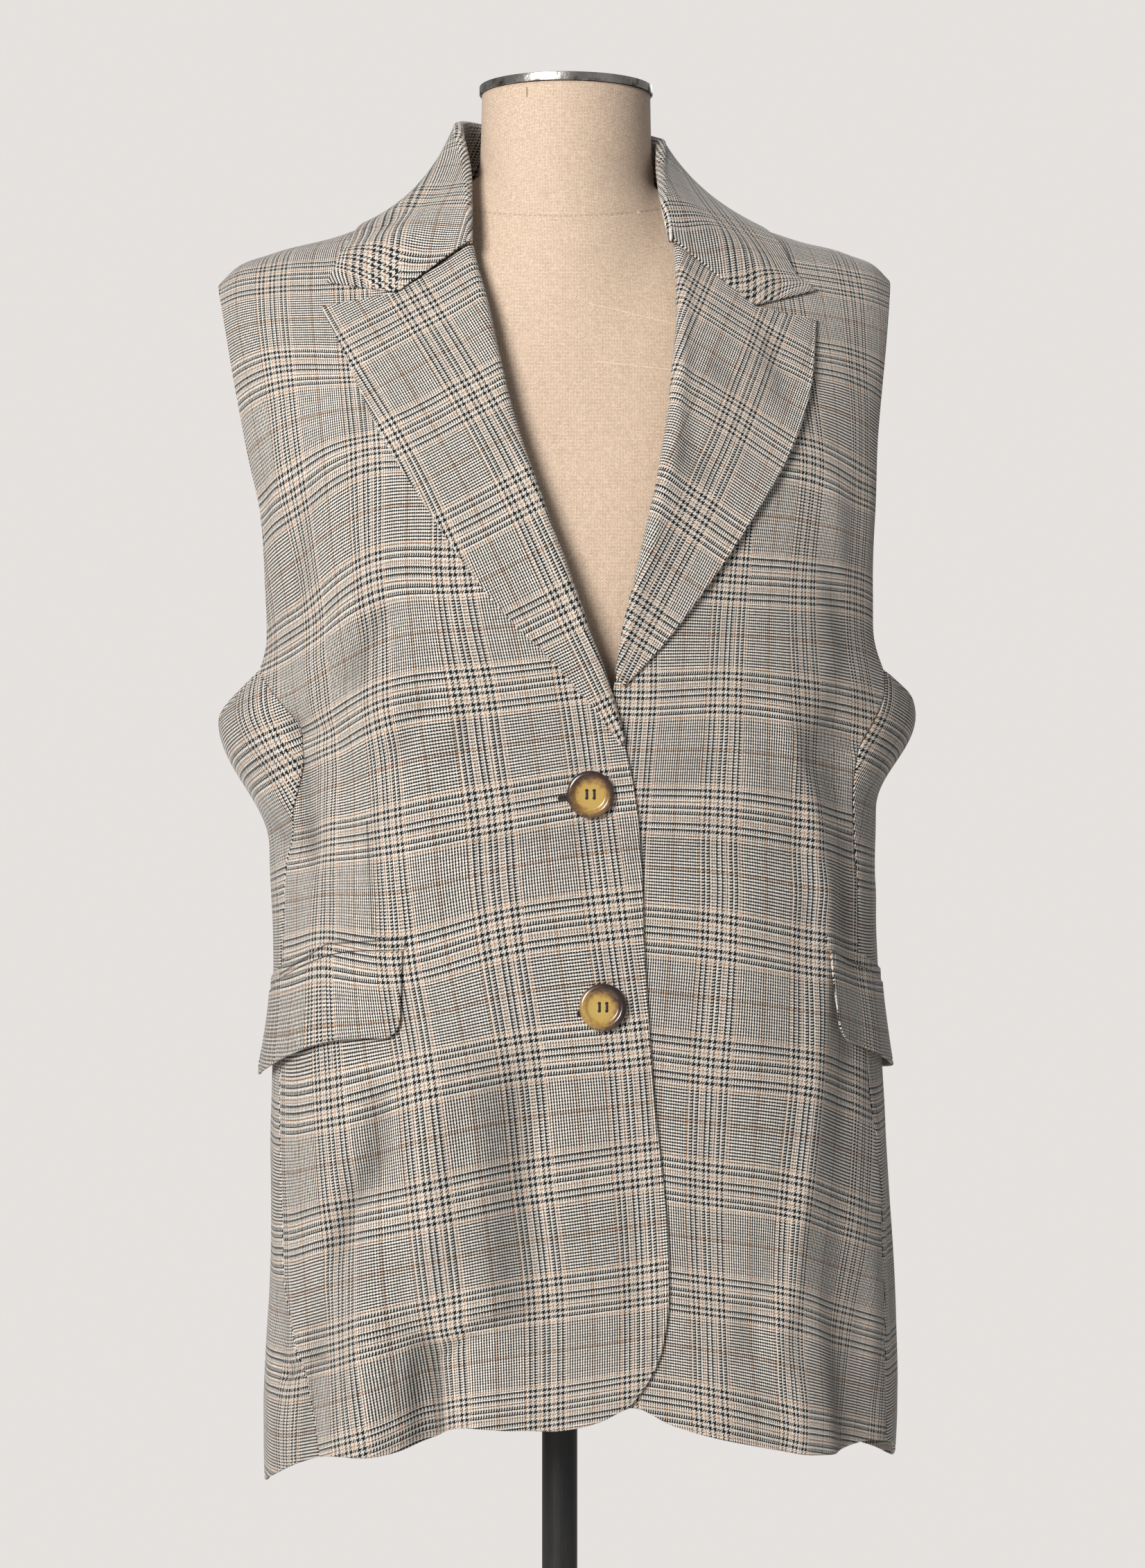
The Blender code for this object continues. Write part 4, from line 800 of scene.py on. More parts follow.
# Sides and back ----------------------------------------------------------------------------------
# Two narrow underarm panels whose armhole edges flare out, and one plain back, cut from the same wool
# and joined to the fronts by pressed seams.
BACK_SEAM = table(
    "height left right",
    (0.64, -121, 121), (0.85, -119, 119), (1, -115, 115), (1.1, -110, 110), (1.152, -106, 106),
)
BACK_ARMHOLE = table(
    "height left right",
    (1.152, -0.176, 0.189), (1.2, -0.178, 0.188), (1.26, -0.187, 0.193), (1.32, -0.201, 0.199),
    (1.393, -0.213, 0.206),
)
ARMPIT = table(
    "share left right",
    (0, CHEST, CHEST), (0.25, 1.135, 1.141), (0.5, 1.1225, 1.1305), (0.75, 1.129, 1.134),
    (1, CHEST, CHEST),
)
NECK_HALF = 0.070  # half width of the back's neckline
NECK_DROP = 0.42  # how far it stops short of the shoulder line at its middle

SIDE_CHARTS = {
    "left": charted(squares(
        (0, 1, -98.8, 1.143), (1, 0, -69.8, 1.1), (0, 0, -87.5, 1.081), (-1, 0, -105.2, 1.062),
        (0, -1, -79, 1.015), (1, -2, -62, 0.956), (0, -2, -80, 0.945), (-1, -2, -98, 0.942),
        (1, -4, -66, 0.801), (0, -4, -84, 0.796), (-1, -4, -102, 0.796), (0, -6, -86, 0.65),
    ), -90.0),
    "right": charted(squares(
        (0, 1, 98, 1.156), (-1, 0, 69.8, 1.113), (0, 0, 87.6, 1.096), (1, 0, 105, 1.077),
        (0, -1, 80, 1.029), (-1, -2, 63, 0.964), (0, -2, 81, 0.957), (1, -2, 99, 0.955),
        (-1, -4, 66, 0.811), (0, -4, 84, 0.808), (1, -4, 102, 0.808), (0, -6, 86, 0.662),
    ), 90.0),
}
BACK_CHART = charted(squares(
    (0, 0, -180, 1.13), (0, 3, -180, 1.33), (1, 0, -158, 1.128), (-1, 0, -202, 1.128), (2, 0, -137, 1.122),
    (-2, 0, -223, 1.122), (0, -3, -180, 0.912), (2, -3, -138, 0.906), (-2, -3, -222, 0.906),
    (0, -6, -180, 0.694), (2, -6, -143, 0.688), (-2, -6, -217, 0.688),
), -180.0)


def side(name, which):
    hand = -1 if which == "left" else 1
    seam = side_seam(which)

    def turned(u, s):
        return panel(u, s, lambda z: seam(z) + hand * 2 * SEAM_TURN,
                     lambda z: smooth(BACK_SEAM, which, z) - hand * SEAM_TURN,
                     reach=smooth(ARMPIT, which, u))

    piece = cut(name, turned, SIDE_CHARTS[which], sewn="lt")
    dress(piece, name)


def back():
    def neck(x):
        return 1 - NECK_DROP * np.clip(1 - (x / NECK_HALF) ** 2, 0, 1) ** 0.7

    def turned(u, s):
        return panel(u, s, lambda z: smooth(BACK_SEAM, "left", z) - SEAM_TURN,
                     lambda z: smooth(BACK_SEAM, "right", z) + SEAM_TURN - 360,
                     lambda z: smooth(BACK_ARMHOLE, "left", z), lambda z: smooth(BACK_ARMHOLE, "right", z),
                     back=True, neck=neck)

    piece = cut("back", turned, BACK_CHART, top=1.998, gap=0.0045, sewn="l")
    dress(piece, "back")


side("side_left", "left")
side("side_right", "right")
back()

# Lapels ------------------------------------------------------------------------------------------
# Each front's facing turned back on the roll line: one layer of the same wool, cut with the check along
# the roll, its edge stitched through close in. It springs off the chest at the roll and rolls under.
LAPEL_EDGE = table(
    "height over",
    (1.1045, 0.0365), (1.1147, 0.029), (1.133, 0.015), (1.1566, -0.006), (1.1795, -0.0294),
    (1.207, -0.052), (1.249, -0.0803), (1.2865, -0.104), (1.345, -0.131), (1.3715, -0.1446),
)
UNDER_LAPEL_EDGE = table(
    "height under",
    (1.139, 0.0385), (1.161, 0.059), (1.1975, 0.0865), (1.24, 0.1145), (1.281, 0.1375), (1.324, 0.151),
    (1.338, 0.153), (1.364, 0.156),
)
LAPEL_ROLL = 0.0030  # how far a lapel springs off the front at its roll line
LAPEL_TOP = 0.996  # where its width is measured for the last time, short of its tip
ROLL_ANGLE = 2.5  # how far round the roll the cloth is modelled, in radians
LAPEL_OVER_CHART = charted(squares(
    (0, 4, -35.5, 1.3658), (0, 3, -23.5, 1.3119), (0, 2, -11.6, 1.2534), (0, 1, 1.7, 1.1882),
    (-1, 3, -43, 1.2854), (-1, 4, -52.7, 1.3386),
))
LAPEL_UNDER_CHART = charted(squares(
    (0, 4, 50, 1.3482), (0, 3, 42.3, 1.2998), (0, 2, 31.3, 1.2417), (0, 1, 18.1, 1.178),
    (-1, 4, 35.8, 1.3755),
))


def lapel(name, start, gorge, apex, rows, column, chart, spring, proud):
    """One lapel, its rows the outer edge, drawn out to its apex beside the gorge, where the collar starts.

    spring is how far it stands off the chest at its roll, proud how far its outer edge does.
    """
    low, tip = rows["height"][0], rows["height"][-1]

    def turned(u, t):
        roll_z = start + (gorge[1] - start) * t
        edge_z = low + (tip - low) * t
        roll_x = smooth(FRONT_EDGE, column, roll_z)
        edge_x = smooth(rows, column, edge_z)
        x = roll_x * (1 - u) + edge_x * u
        z = roll_z * (1 - u) + edge_z * u
        bow = 1 - np.abs(2 * u - 1)
        pull = np.clip(t, 0, 2) ** 5 * bow
        tip_x = smooth(rows, column, tip)
        middle = ((gorge[0] + tip_x) / 2, (gorge[1] + tip) / 2)
        x, z = x + pull * (apex[0] - middle[0]), z + pull * (apex[1] - middle[1])
        return turn_at(x, z), z, None

    def lift(u, t):
        """How far the middle of the cloth lies above the skin."""
        rise = ramp(t, 0.0, 0.35) * ramp(-t, -1.0, -0.80)
        off = LAPEL_ROLL * np.clip(1 - u, 0, 1) ** 4 + spring * rise * np.clip(1 - u, 0, 1) ** 3
        edge = proud * rise * np.clip(u, 0, 1) ** 6
        return LAID + CLOTH / 2 + off + edge

    def base(u, t):
        return skin(*turned(u, t))

    fine = np.linspace(0, 1, 41)
    measured = fine * LAPEL_TOP
    widths = length(base(*np.meshgrid(fine, measured, indexing="ij")))

    def roll(t):
        """The lapel's width and its roll's radius."""
        width = np.interp(t, measured, widths)
        return width, np.minimum((lift(0 * t, t) + CLOTH * 0.6 + 0.0006) / 2, width * 0.30)

    def place(p, t):
        """p runs from behind the roll, over it, and across the lapel to its outer edge."""
        width, radius = roll(t)
        arc = radius * ROLL_ANGLE
        whole = arc + width - radius
        at = p * whole
        u = np.where(at < arc, radius, at - arc + radius) / width
        ahead, behind = base(u + 0.004, t), base(u - 0.004, t)
        along = unit(ahead - behind)
        rise = unit(base(u, t + 0.002) - base(u, t - 0.002))
        normal = unit(np.cross(along, rise))
        normal *= -np.sign(normal[..., 1:2])
        sunken = lift(u, t) - sunk(base(u, t), column)
        bend = np.clip((arc - at) / radius, 0, ROLL_ANGLE)[..., None]
        turned_in = normal * (sunken[..., None] - radius[..., None] * (1 - np.cos(bend)))
        return base(u, t) + turned_in - along * radius[..., None] * np.sin(bend)

    def flat_at(p, t):
        width, radius = roll(t)
        return (p * (radius * ROLL_ANGLE + width - radius) - radius * (ROLL_ANGLE - 1)) / width

    piece = cut(
        name, lambda p, t: turned(flat_at(p, t), t), chart, top=0.9992, gap=0.0024,
        lift=lambda p, t, points: -CLOTH / 2, sewn="b", place=place,
    )
    dress(piece, name)


lapel("lapel_over", 1.108, (-0.0545, 1.4078), (-0.0985, 1.3785), LAPEL_EDGE, "over", LAPEL_OVER_CHART,
      0.0012, 0.0014)
lapel("lapel_under", 1.1475, (0.0680, 1.4100), (0.1180, 1.3700), UNDER_LAPEL_EDGE, "under",
      LAPEL_UNDER_CHART, 0.0045, 0.0030)

# Collar ------------------------------------------------------------------------------------------
# One piece round the neck: a stand sewn to the neckline, a soft fold and a fall that lies on the
# shoulders and meets the lapels at the notches. Its check runs across the leaf.
COLLAR = table(
    "station seam_x seam_over fold_x fold_y fold_z lean mid_x mid_over mid_lift edge_x edge_over",
    (-1, -0.0545, -0.379, -0.0528, -0.073, 1.4084, 28, -0.0985, -0.415, 0, -0.141, -0.33),
    (-0.86, -0.06, -0.29, -0.0526, -0.0605, 1.432, 18, -0.096, -0.275, 0.004, -0.136, -0.27),
    (-0.7, -0.068, -0.16, -0.054, -0.035, 1.46, 8, -0.091, -0.18, 0.005, -0.13, -0.19),
    (-0.52, -0.071, 0.01, -0.0605, -0.002, 1.4905, 0, -0.085, -0.02, 0.011, -0.118, -0.04),
    (-0.36, -0.065, 0.06, -0.059, 0.029, 1.5, 0, -0.0735, 0.112, 0.017, -0.094, 0.118),
    (-0.18, -0.04, 0.232, -0.04, 0.0545, 1.502, 0, -0.049, 0.222, 0.019, -0.057, 0.245),
    (0, 0, 0.336, 0.002, 0.063, 1.502, 0, 0.001, 0.3, 0.019, 0, 0.368),
    (0.18, 0.043, 0.228, 0.0415, 0.055, 1.498, 0, 0.0515, 0.222, 0.019, 0.059, 0.245),
    (0.36, 0.067, 0.06, 0.059, 0.03, 1.49, 0, 0.0745, 0.112, 0.016, 0.096, 0.118),
    (0.52, 0.073, 0.01, 0.0604, -0.002, 1.4815, 0, 0.086, -0.02, 0.01, 0.12, -0.04),
    (0.7, 0.072, -0.16, 0.0592, -0.035, 1.458, 8, 0.094, -0.18, 0.005, 0.136, -0.2),
    (0.86, 0.07, -0.23, 0.0617, -0.057, 1.4325, 18, 0.107, -0.29, 0.004, 0.145, -0.3),
    (1, 0.068, -0.336, 0.067, -0.0682, 1.4095, 28, 0.118, -0.425, 0, 0.1564, -0.335),
)
NECK_X = 0.004  # the neck's middle lies a little to the right
COLLAR_ROLL = 0.0026  # radius of the collar's fold at the back
GORGE_ROLL = 0.0016  # and at its two ends, where it lies flat
STAND_LIFT = 0.0030  # the stand's lower edge sits this far above the skin
GORGE_TAIL = 0.0012  # what is left of the stand at the two ends
STAND_END = 0.25  # share of the collar's profile that is stand, then fold, then fall
FALL_START = 0.50


def over_shoulder(x, over):
    """Skin at an x near the shoulder; over is -1 on the front chest, 0 on the seam, 1 behind."""
    angle = np.abs(over) * np.pi / 2
    z = CHEST + (shoulder(x) - CHEST) * np.cos(angle)
    turn = np.where(over < 0, turn_at(x, z), turn_at(x, z, back=True))
    return skin(turn, z, np.sin(angle) ** (2 / SQUARE))


def laid(x_name, over_name, c, lift):
    """A place on the shoulders, lifted off the skin, from two columns of the collar's table."""
    x, over = smooth(COLLAR, x_name, c), smooth(COLLAR, over_name, c)
    across = over_shoulder(x + 0.002, over) - over_shoulder(x - 0.002, over)
    along = over_shoulder(x, over + 0.002) - over_shoulder(x, over - 0.002)
    normal = unit(np.cross(across, along))
    normal *= np.sign(normal[..., 2:3] + 1e-9)
    return over_shoulder(x, over) + normal * lift[..., None]


def fold_line(c):
    return joined(*(smooth(COLLAR, f"fold_{axis}", c) for axis in "xyz"))


def collar_place(p, c):
    """p runs up the stand, over the fold and down the fall; c from one gorge to the other."""
    loose = (1 - ramp(np.abs(c), 0.80, 1.0))[..., None]
    along = unit(fold_line(c + 0.02) - fold_line(c - 0.02))
    away = unit((fold_line(c) - np.array([NECK_X, 0.0, 0.0])) * np.array([1.0, 1.0, 0.0]))
    away = unit(away - along * np.sum(away * along, axis=-1, keepdims=True))
    up = np.cross(along, away)
    lean = np.radians(smooth(COLLAR, "lean", c))[..., None]
    away, up = away * np.cos(lean) + up * np.sin(lean), up * np.cos(lean) - away * np.sin(lean)
    roll = GORGE_ROLL + (COLLAR_ROLL - GORGE_ROLL) * loose
    centre = fold_line(c) + (away - up) * roll
    bend = np.pi * np.clip((p - STAND_END) / (FALL_START - STAND_END), 0, 1)[..., None]
    over = centre + roll * (up * np.sin(bend) - away * np.cos(bend))
    start, outer = centre - away * roll, centre + away * roll
    sewn = laid("seam_x", "seam_over", c, STAND_LIFT + 0 * c)
    seam = sewn * loose + (start - up * GORGE_TAIL) * (1 - loose)
    stand_part = seam + (start - seam) * (p / STAND_END)[..., None]
    mid = laid("mid_x", "mid_over", c, smooth(COLLAR, "mid_lift", c) + LAID + CLOTH / 2)
    edge = laid("edge_x", "edge_over", c, LAID + CLOTH / 2 + 0 * c)
    t = ((p - FALL_START) / (1 - FALL_START))[..., None]
    straight = np.where(t < 0.5, outer + (mid - outer) * 2 * t, mid + (edge - mid) * (2 * t - 1))
    pull = 2 * mid - (outer + edge) / 2
    curved = outer * (1 - t) ** 2 + pull * 2 * t * (1 - t) + edge * t * t
    fall = straight * (1 - loose) + curved * loose
    p = p[..., None]
    return np.where(p <= STAND_END, stand_part, np.where(p <= FALL_START, over, fall))


FOLD_MIDDLE, FALL_FIRST = 15, 24  # columns of the collar's mesh
near_edge = 1 - np.array([0, 0.0012, 0.005, 0.012, 0.022, 0.034, 0.045, 0.056, 0.07])
profile = np.concatenate([
    np.linspace(0, STAND_END, 9), np.linspace(STAND_END, FALL_START, 15)[1:],
    np.linspace(FALL_START, 0.93, 22)[1:], near_edge[::-1][1:],
])
tips = np.array([0, 0.0004, 0.0015, 0.0035, 0.007, 0.010, 0.0125, 0.015, 0.019])
stations = np.concatenate([tips, np.linspace(0.019, 1.981, 150)[1:-1], 2 - tips[::-1]]) * 0.999 - 0.999
across, up = np.meshgrid(profile, stations)
points = collar_place(across, up)
low, high = np.clip(across - STEP, 0, 1), np.clip(across + STEP, 0, 1)
normal = unit(np.cross(collar_place(high, up) - collar_place(low, up),
                       collar_place(across, up + STEP) - collar_place(across, up - STEP)))
leaf_at = np.array([run_along(row) for row in points])
round_at = run_along(points[:, FALL_FIRST])[:, None] + 0 * across
to_tip = np.minimum(round_at, round_at[-1:] - round_at)
to_edge = leaf_at[:, -1:] - leaf_at
near = np.minimum(np.minimum(to_tip, to_edge), leaf_at + 0.0004)
half = CLOTH / 2 * wall(np.where(to_tip < to_edge, near / 0.0005, near / (CLOTH / 2)))
channel = np.clip(stitched(to_edge) + stitched(to_tip), 0, 1)
wave = 0.0004 * np.sin(up * 21 + across * 3) * ramp(across, 0.5, 0.7)
outer = points + normal * (half + wave - 0.0004 * channel)[..., None]
inner = points + normal * (wave - half)[..., None]
round_fold = run_along(points[:, FOLD_MIDDLE])
from_middle = (round_fold - round_fold[-1] / 2)[:, None] + 0 * across
from_fold = leaf_at - leaf_at[:, FOLD_MIDDLE:FOLD_MIDDLE + 1]
known = table(
    "column row away along",
    (-1, 0, 0.0651, -0.204), (-1, 1, 0.0599, -0.1129), (-0.04, 0.27, 0, -0.2204), (-0.25, 1, 0, -0.1839),
    (-0.63, 2, 0, -0.119), (-0.4, 0.5, 0.0178, -0.1987), (-0.62, 4, 0, 0.009), (-1.6, 4, 0.06, 0.009),
    (0.2, 4, -0.05, 0.009), (-0.57, 6, 0, 0.1376), (-0.32, 7, 0, 0.2015), (-0.34, 7.42, 0, 0.2204),
    (-1, 7, 0.0546, 0.1614), (-1, 8, 0.0621, 0.2139),
)
on_collar = fitted(joined(known["away"], known["along"]), joined(known["column"], known["row"]), 2e-3)
collar = sew("collar", outer, inner, on_collar(joined(from_fold, from_middle)))
dress(collar, "collar")

# Pockets -----------------------------------------------------------------------------------------
# A narrow jet sewn into each front at hip height, and a lined flap that hangs from under it with its
# lower corners rounded. The outer end of each flap stands proud of the hip.
POCKET_LINE = table(
    "turn height",
    (-88, 0.95), (-75, 0.961), (-65, 0.972), (-58, 0.979), (-42.5, 0.983), (59.5, 0.982), (70, 0.971),
    (80, 0.962), (95, 0.956), (110, 0.952),
)
FLAP_DEPTH = 0.052
FLAP_CORNER = 0.011
FLAP_CLOTH = 0.0020
METRES_PER_TURN = 0.0033  # length along the skin of one degree, at the pockets
JET_HEIGHT = 0.0075
JET_CLOTH = 0.0010
JET_LIFT = 0.0006


def flap(name, inner_end, outer_end, stands, gape, chart):
    """stands is how far its outer end is off the hip at its foot, gape how far its inner end is."""
    def turned(u, v):
        turn = inner_end + (outer_end - inner_end) * u
        top = smooth(POCKET_LINE, "height", turn)
        wide = abs(outer_end - inner_end) * METRES_PER_TURN
        from_end = np.clip(np.minimum(u, 1 - u) * wide, 0, FLAP_CORNER)
        cut_off = FLAP_CORNER - np.sqrt(np.clip(FLAP_CORNER ** 2 - (FLAP_CORNER - from_end) ** 2, 0, None))
        return turn, top - (FLAP_DEPTH - cut_off) * v, None

    def lift(u, v, points):
        return LAID + (stands * u + gape * (1 - u) ** 2) * np.clip(v, 0, 1) ** 1.3

    piece = cut(name, turned, chart, gap=0.0026, lift=lift, thick=FLAP_CLOTH, sewn="abt")
    dress(piece, name)


def jet(name, inner_end, outer_end, chart):
    def turned(u, v):
        turn = inner_end + (outer_end - inner_end) * (u * 1.02 - 0.01)
        return turn, smooth(POCKET_LINE, "height", turn) + JET_LIFT + JET_HEIGHT * v, None

    piece = cut(name, turned, chart, gap=0.0022, lift=lambda u, v, points: JET_LIFT, thick=JET_CLOTH)
    dress(piece, name)


flap("flap_left", -42.5, -86.0, 0.0065, 0.0015, lambda turn, z: OVER_CHART(turn, z) + (0, 1))
flap("flap_right", 59.5, 108.0, 0.0060, 0.0060, UNDER_CHART)
jet("jet_left", -42.5, -86.0, OVER_CHART)
jet("jet_right", 59.5, 108.0, UNDER_CHART)

# Buttons -----------------------------------------------------------------------------------------
# Two four-hole buttons of horn, turned with a raised dark rim and a dished honey-coloured middle. Each is
# sewn on with two upright bars of dark thread, and the end of its worked buttonhole shows at its left.
BUTTON_RADIUS = 0.014
HOLE_RADIUS = 0.0010
HOLE_SPREAD = 0.0022  # from the button's middle lines to each hole
DISC_THICK, DISC_MIDDLE = 0.0022, 0.0020  # before turning, and the height of its middle off the cloth
BAR_RADIUS, BAR_SHAPE, BAR_LIFT = 0.001, (0.72, 2.9, 0.85), 0.0027
RING_RADIUS, RING_THREAD = 0.0013, 0.00055  # a buttonhole's end, before it is drawn out
# The dark disc in each buttonhole's cut is painted shade: its radius and thickness, before it is drawn out.
SLIT_SHADOW_RADIUS, SLIT_SHADOW_THICK = 0.0012, 0.0004
BUTTON_FACE = (  # steps in and up: a raised rim, then the dish
    (0.0007, 0.0007), (0.0012, 0.0004), (0.0013, -0.0001), (0.0011, -0.0008), (0.0008, -0.0006),
    (0.0030, -0.0001),
)
BUTTON_BACK = ((0.0030, -0.0009),)
HORN_TONES = (
    (0.00, (0.520, 0.370, 0.110)),
    (0.45, (0.460, 0.300, 0.080)),
    (0.62, (0.270, 0.150, 0.045)),
    (0.78, (0.070, 0.034, 0.018)),
    (1.00, (0.022, 0.011, 0.009)),
)


def turn_ends(thing, upper, lower):
    """A turned piece's two end faces, each drawn in and moved up step by step, as on a lathe."""
    bpy.ops.object.mode_set(mode="EDIT")
    bpy.ops.mesh.select_mode(type="FACE")
    for hand, steps in ((1, upper), (-1, lower)):
        shape = bmesh.from_edit_mesh(thing.data)
        for face in shape.faces:
            face.select_set(face.normal.z * hand > 0.9)
        bmesh.update_edit_mesh(thing.data)
        for inward, up in steps:
            bpy.ops.mesh.inset(thickness=inward)
            bpy.ops.transform.translate(value=(0, 0, up))
    bpy.ops.object.mode_set(mode="OBJECT")


def bumps(tree, strength, height, distance=0.0002):
    return node(tree, "Bump", None, Strength=strength, Distance=distance, Height=height)


def finish_edges(thing, width, segments=3):
    """A small round on every sharp edge, applied."""
    softened = thing.modifiers.new("edges", "BEVEL")
    softened.width, softened.segments, softened.limit_method = width, segments, "ANGLE"
    softened.angle_limit = math.radians(28)
    take_up(thing)
    bpy.ops.object.modifier_apply(modifier="edges")
    bpy.ops.object.shade_smooth()


def horn(name, centre, leans):
    """leans: how the dark side of the horn lies, to the right and up."""
    made, tree, shader = finish_of(name, Coat_Weight=0.6, Coat_Roughness=0.08)
    where = node(tree, "TexCoord", out=3)
    from_middle = node(tree, "VectorMath", {"operation": "SUBTRACT"}, where, centre)
    radius = node(tree, "VectorMath", {"operation": "LENGTH"}, from_middle, out=1)
    side_way = node(tree, "VectorMath", {"operation": "DOT_PRODUCT"}, from_middle,
                    (leans[0], 0, leans[1]), out=1)
    streaks = noise(tree, from_middle, 170, 5, Distortion=2.4)
    fine = noise(tree, from_middle, 900, 3)
    share = radius * (1 / BUTTON_RADIUS) * 0.86 + streaks * 0.42 - 0.20 + side_way * (1 / BUTTON_RADIUS)
    tone = node(tree, "ValToRGB", {"stops": HORN_TONES}, share.clamp())
    feed(tree, shader, Base_Color=tone, Roughness=0.20 + fine * 0.14, Normal=bumps(tree, 0.08, streaks))
    return made


def thread(name, colour):
    made, tree, shader = finish_of(name, Roughness=0.8, Sheen_Weight=0.2)
    where = node(tree, "TexCoord", out=3)
    twist = node(tree, "TexWave", {"bands_direction": "DIAGONAL"}, None, where, 1500.0, 1.0)
    dark = tuple(c * 0.45 for c in colour)
    # Painted shade: the thread is darker in the grooves of its twist, which also shape the bump.
    feed(tree, shader, Base_Color=blend(tree, twist, dark, colour), Normal=bumps(tree, 0.5, twist))
    return made


DARK_THREAD_AND_SHADOW = thread("dark_thread_and_shadow", (0.030, 0.017, 0.013))


def facing(x, z, lift):
    """The left front's surface at a place: a point this far off it, and the turn that faces out."""
    turn = float(turn_at(x, z))
    here = skin(turn, z)
    normal = unit(np.cross(skin(turn + 0.5, z) - here, skin(turn, z + 0.002) - here))
    normal = normal * -np.sign(normal[1])
    return here + normal * lift, (math.acos(normal[2]), 0, math.atan2(normal[0], -normal[1]))


def settle(thing, at, tilt):
    """Sets a finished piece in place, with its place in its mesh."""
    thing.location, thing.rotation_euler = at, tilt
    take_up(thing)
    bpy.ops.object.transform_apply(location=True, rotation=True, scale=True)


def button(name, x, z, leans):
    at, tilt = facing(x, z, LAID)
    disc = begin(bpy.ops.mesh.primitive_cylinder_add, f"{name}_horn", vertices=96, radius=BUTTON_RADIUS,
                 depth=DISC_THICK, location=(0, 0, DISC_MIDDLE))
    bpy.ops.object.transform_apply(location=True)
    turn_ends(disc, BUTTON_FACE, BUTTON_BACK)
    finish_edges(disc, 0.0005)
    take_up(*(
        begin(bpy.ops.mesh.primitive_cylinder_add, "drill", vertices=24, radius=HOLE_RADIUS, depth=0.02,
              location=(right * HOLE_SPREAD, up * HOLE_SPREAD, 0))
        for right, up in ((-1, -1), (1, -1), (1, 1), (-1, 1))
    ))
    bpy.ops.object.join()
    drill = bpy.context.object
    bored = disc.modifiers.new("holes", "BOOLEAN")
    bored.operation, bored.object = "DIFFERENCE", drill
    take_up(disc)
    bpy.ops.object.modifier_apply(modifier="holes")
    bpy.ops.object.shade_smooth_by_angle(angle=math.radians(40))
    take_up(drill)
    bpy.ops.object.delete()
    settle(disc, at, tilt)
    place_on_stand(disc, horn(f"{name}_finish", tuple(at), leans), name)
    bars = []
    for right in (-1, 1):
        bars.append(begin(bpy.ops.mesh.primitive_uv_sphere_add, f"{name}_bar", segments=20, ring_count=12,
                          radius=BAR_RADIUS, location=(right * HOLE_SPREAD, 0, BAR_LIFT)))
        bpy.ops.object.mode_set(mode="EDIT")
        bpy.ops.mesh.select_all(action="SELECT")
        bpy.ops.transform.resize(value=BAR_SHAPE)
        bpy.ops.object.mode_set(mode="OBJECT")
        bpy.ops.object.shade_smooth()
    take_up(*bars)
    bpy.ops.object.transform_apply(location=True)
    bpy.ops.object.join()
    sewn = bpy.context.object
    sewn.name = f"{name}_thread"
    settle(sewn, at, tilt)
    place_on_stand(sewn, DARK_THREAD_AND_SHADOW)


def buttonhole(name, x, z, run, tip):
    """A worked buttonhole: a tight ring of thread drawn out along its cut, and in the cut a dark disc that is
    painted shade.
    """
    at, tilt = facing(x, z, 0.0002)
    stitches = begin(bpy.ops.mesh.primitive_torus_add, f"{name}_ring", major_segments=40, minor_segments=10,
                     major_radius=RING_RADIUS, minor_radius=RING_THREAD)
    # Painted shade: a dark disc in the cut, in the thread's material.
    inside = begin(bpy.ops.mesh.primitive_cylinder_add, f"{name}_slit", vertices=32, radius=SLIT_SHADOW_RADIUS,
                   depth=SLIT_SHADOW_THICK)
    for piece in (stitches, inside):
        take_up(piece)
        bpy.ops.object.mode_set(mode="EDIT")
        bpy.ops.mesh.select_mode(type="VERT")
        bpy.ops.mesh.select_all(action="DESELECT")
        shape = bmesh.from_edit_mesh(piece.data)
        for vertex in shape.verts:
            vertex.select_set(vertex.co.x > 1e-5)
        bmesh.update_edit_mesh(piece.data)
        bpy.ops.transform.translate(value=(run, tip, 0))
        bpy.ops.object.mode_set(mode="OBJECT")
        bpy.ops.object.shade_smooth_by_angle(angle=math.radians(50))
        settle(piece, at, tilt)
        place_on_stand(piece, DARK_THREAD_AND_SHADOW)


button("button_upper", 0.0186, 1.076, (-0.02, 0.14))
button("button_lower", 0.0260, 0.950, (0.30, 0.16))
buttonhole("buttonhole_upper", 0.0010, 1.0735, 0.014, 0.0012)
buttonhole("buttonhole_lower", 0.0122, 0.9462, 0.010, 0.0010)

# Form --------------------------------------------------------------------------------------------
# A limbless padded form covered in unbleached linen, drawn tight and smooth, with a stitched seam round
# the base of the neck. A few worn threads and a nick under the cap show its age.
FORM = table(
    "height half front back",
    (0.76, 0.158, -0.104, 0.1), (0.85, 0.16, -0.102, 0.098), (0.96, 0.146, -0.092, 0.082),
    (1.05, 0.142, -0.09, 0.076), (1.15, 0.156, -0.104, 0.083), (1.23, 0.166, -0.107, 0.092),
    (1.3, 0.176, -0.101, 0.096), (1.36, 0.186, -0.096, 0.096), (1.42, 0.184, -0.092, 0.094),
    (1.52, 0.182, -0.088, 0.092),
)
NECK = table(
    "height radius",
    (1.395, 0.064), (1.42, 0.061), (1.44, 0.0575), (1.46, 0.0545), (1.48, 0.0532), (1.511, 0.0525),
)
FORM_BOTTOM, FORM_TOP = 0.760, 1.511
FORM_GAP = 0.0016  # air between the form's shoulders and the cloth that rests on them
LINEN_PITCH = 0.00087  # one thread of the linen
NECK_SEAM = (1.4280, 0.061, 0.256, 0.0009)  # its height, how far that is ahead, its slope and half width
STITCH_PITCH, STITCH_SHARE = 0.0031, 0.62
NICK_AT, NICK_HALVES = (-0.0198, 1.5050), (0.00045, 0.0030)
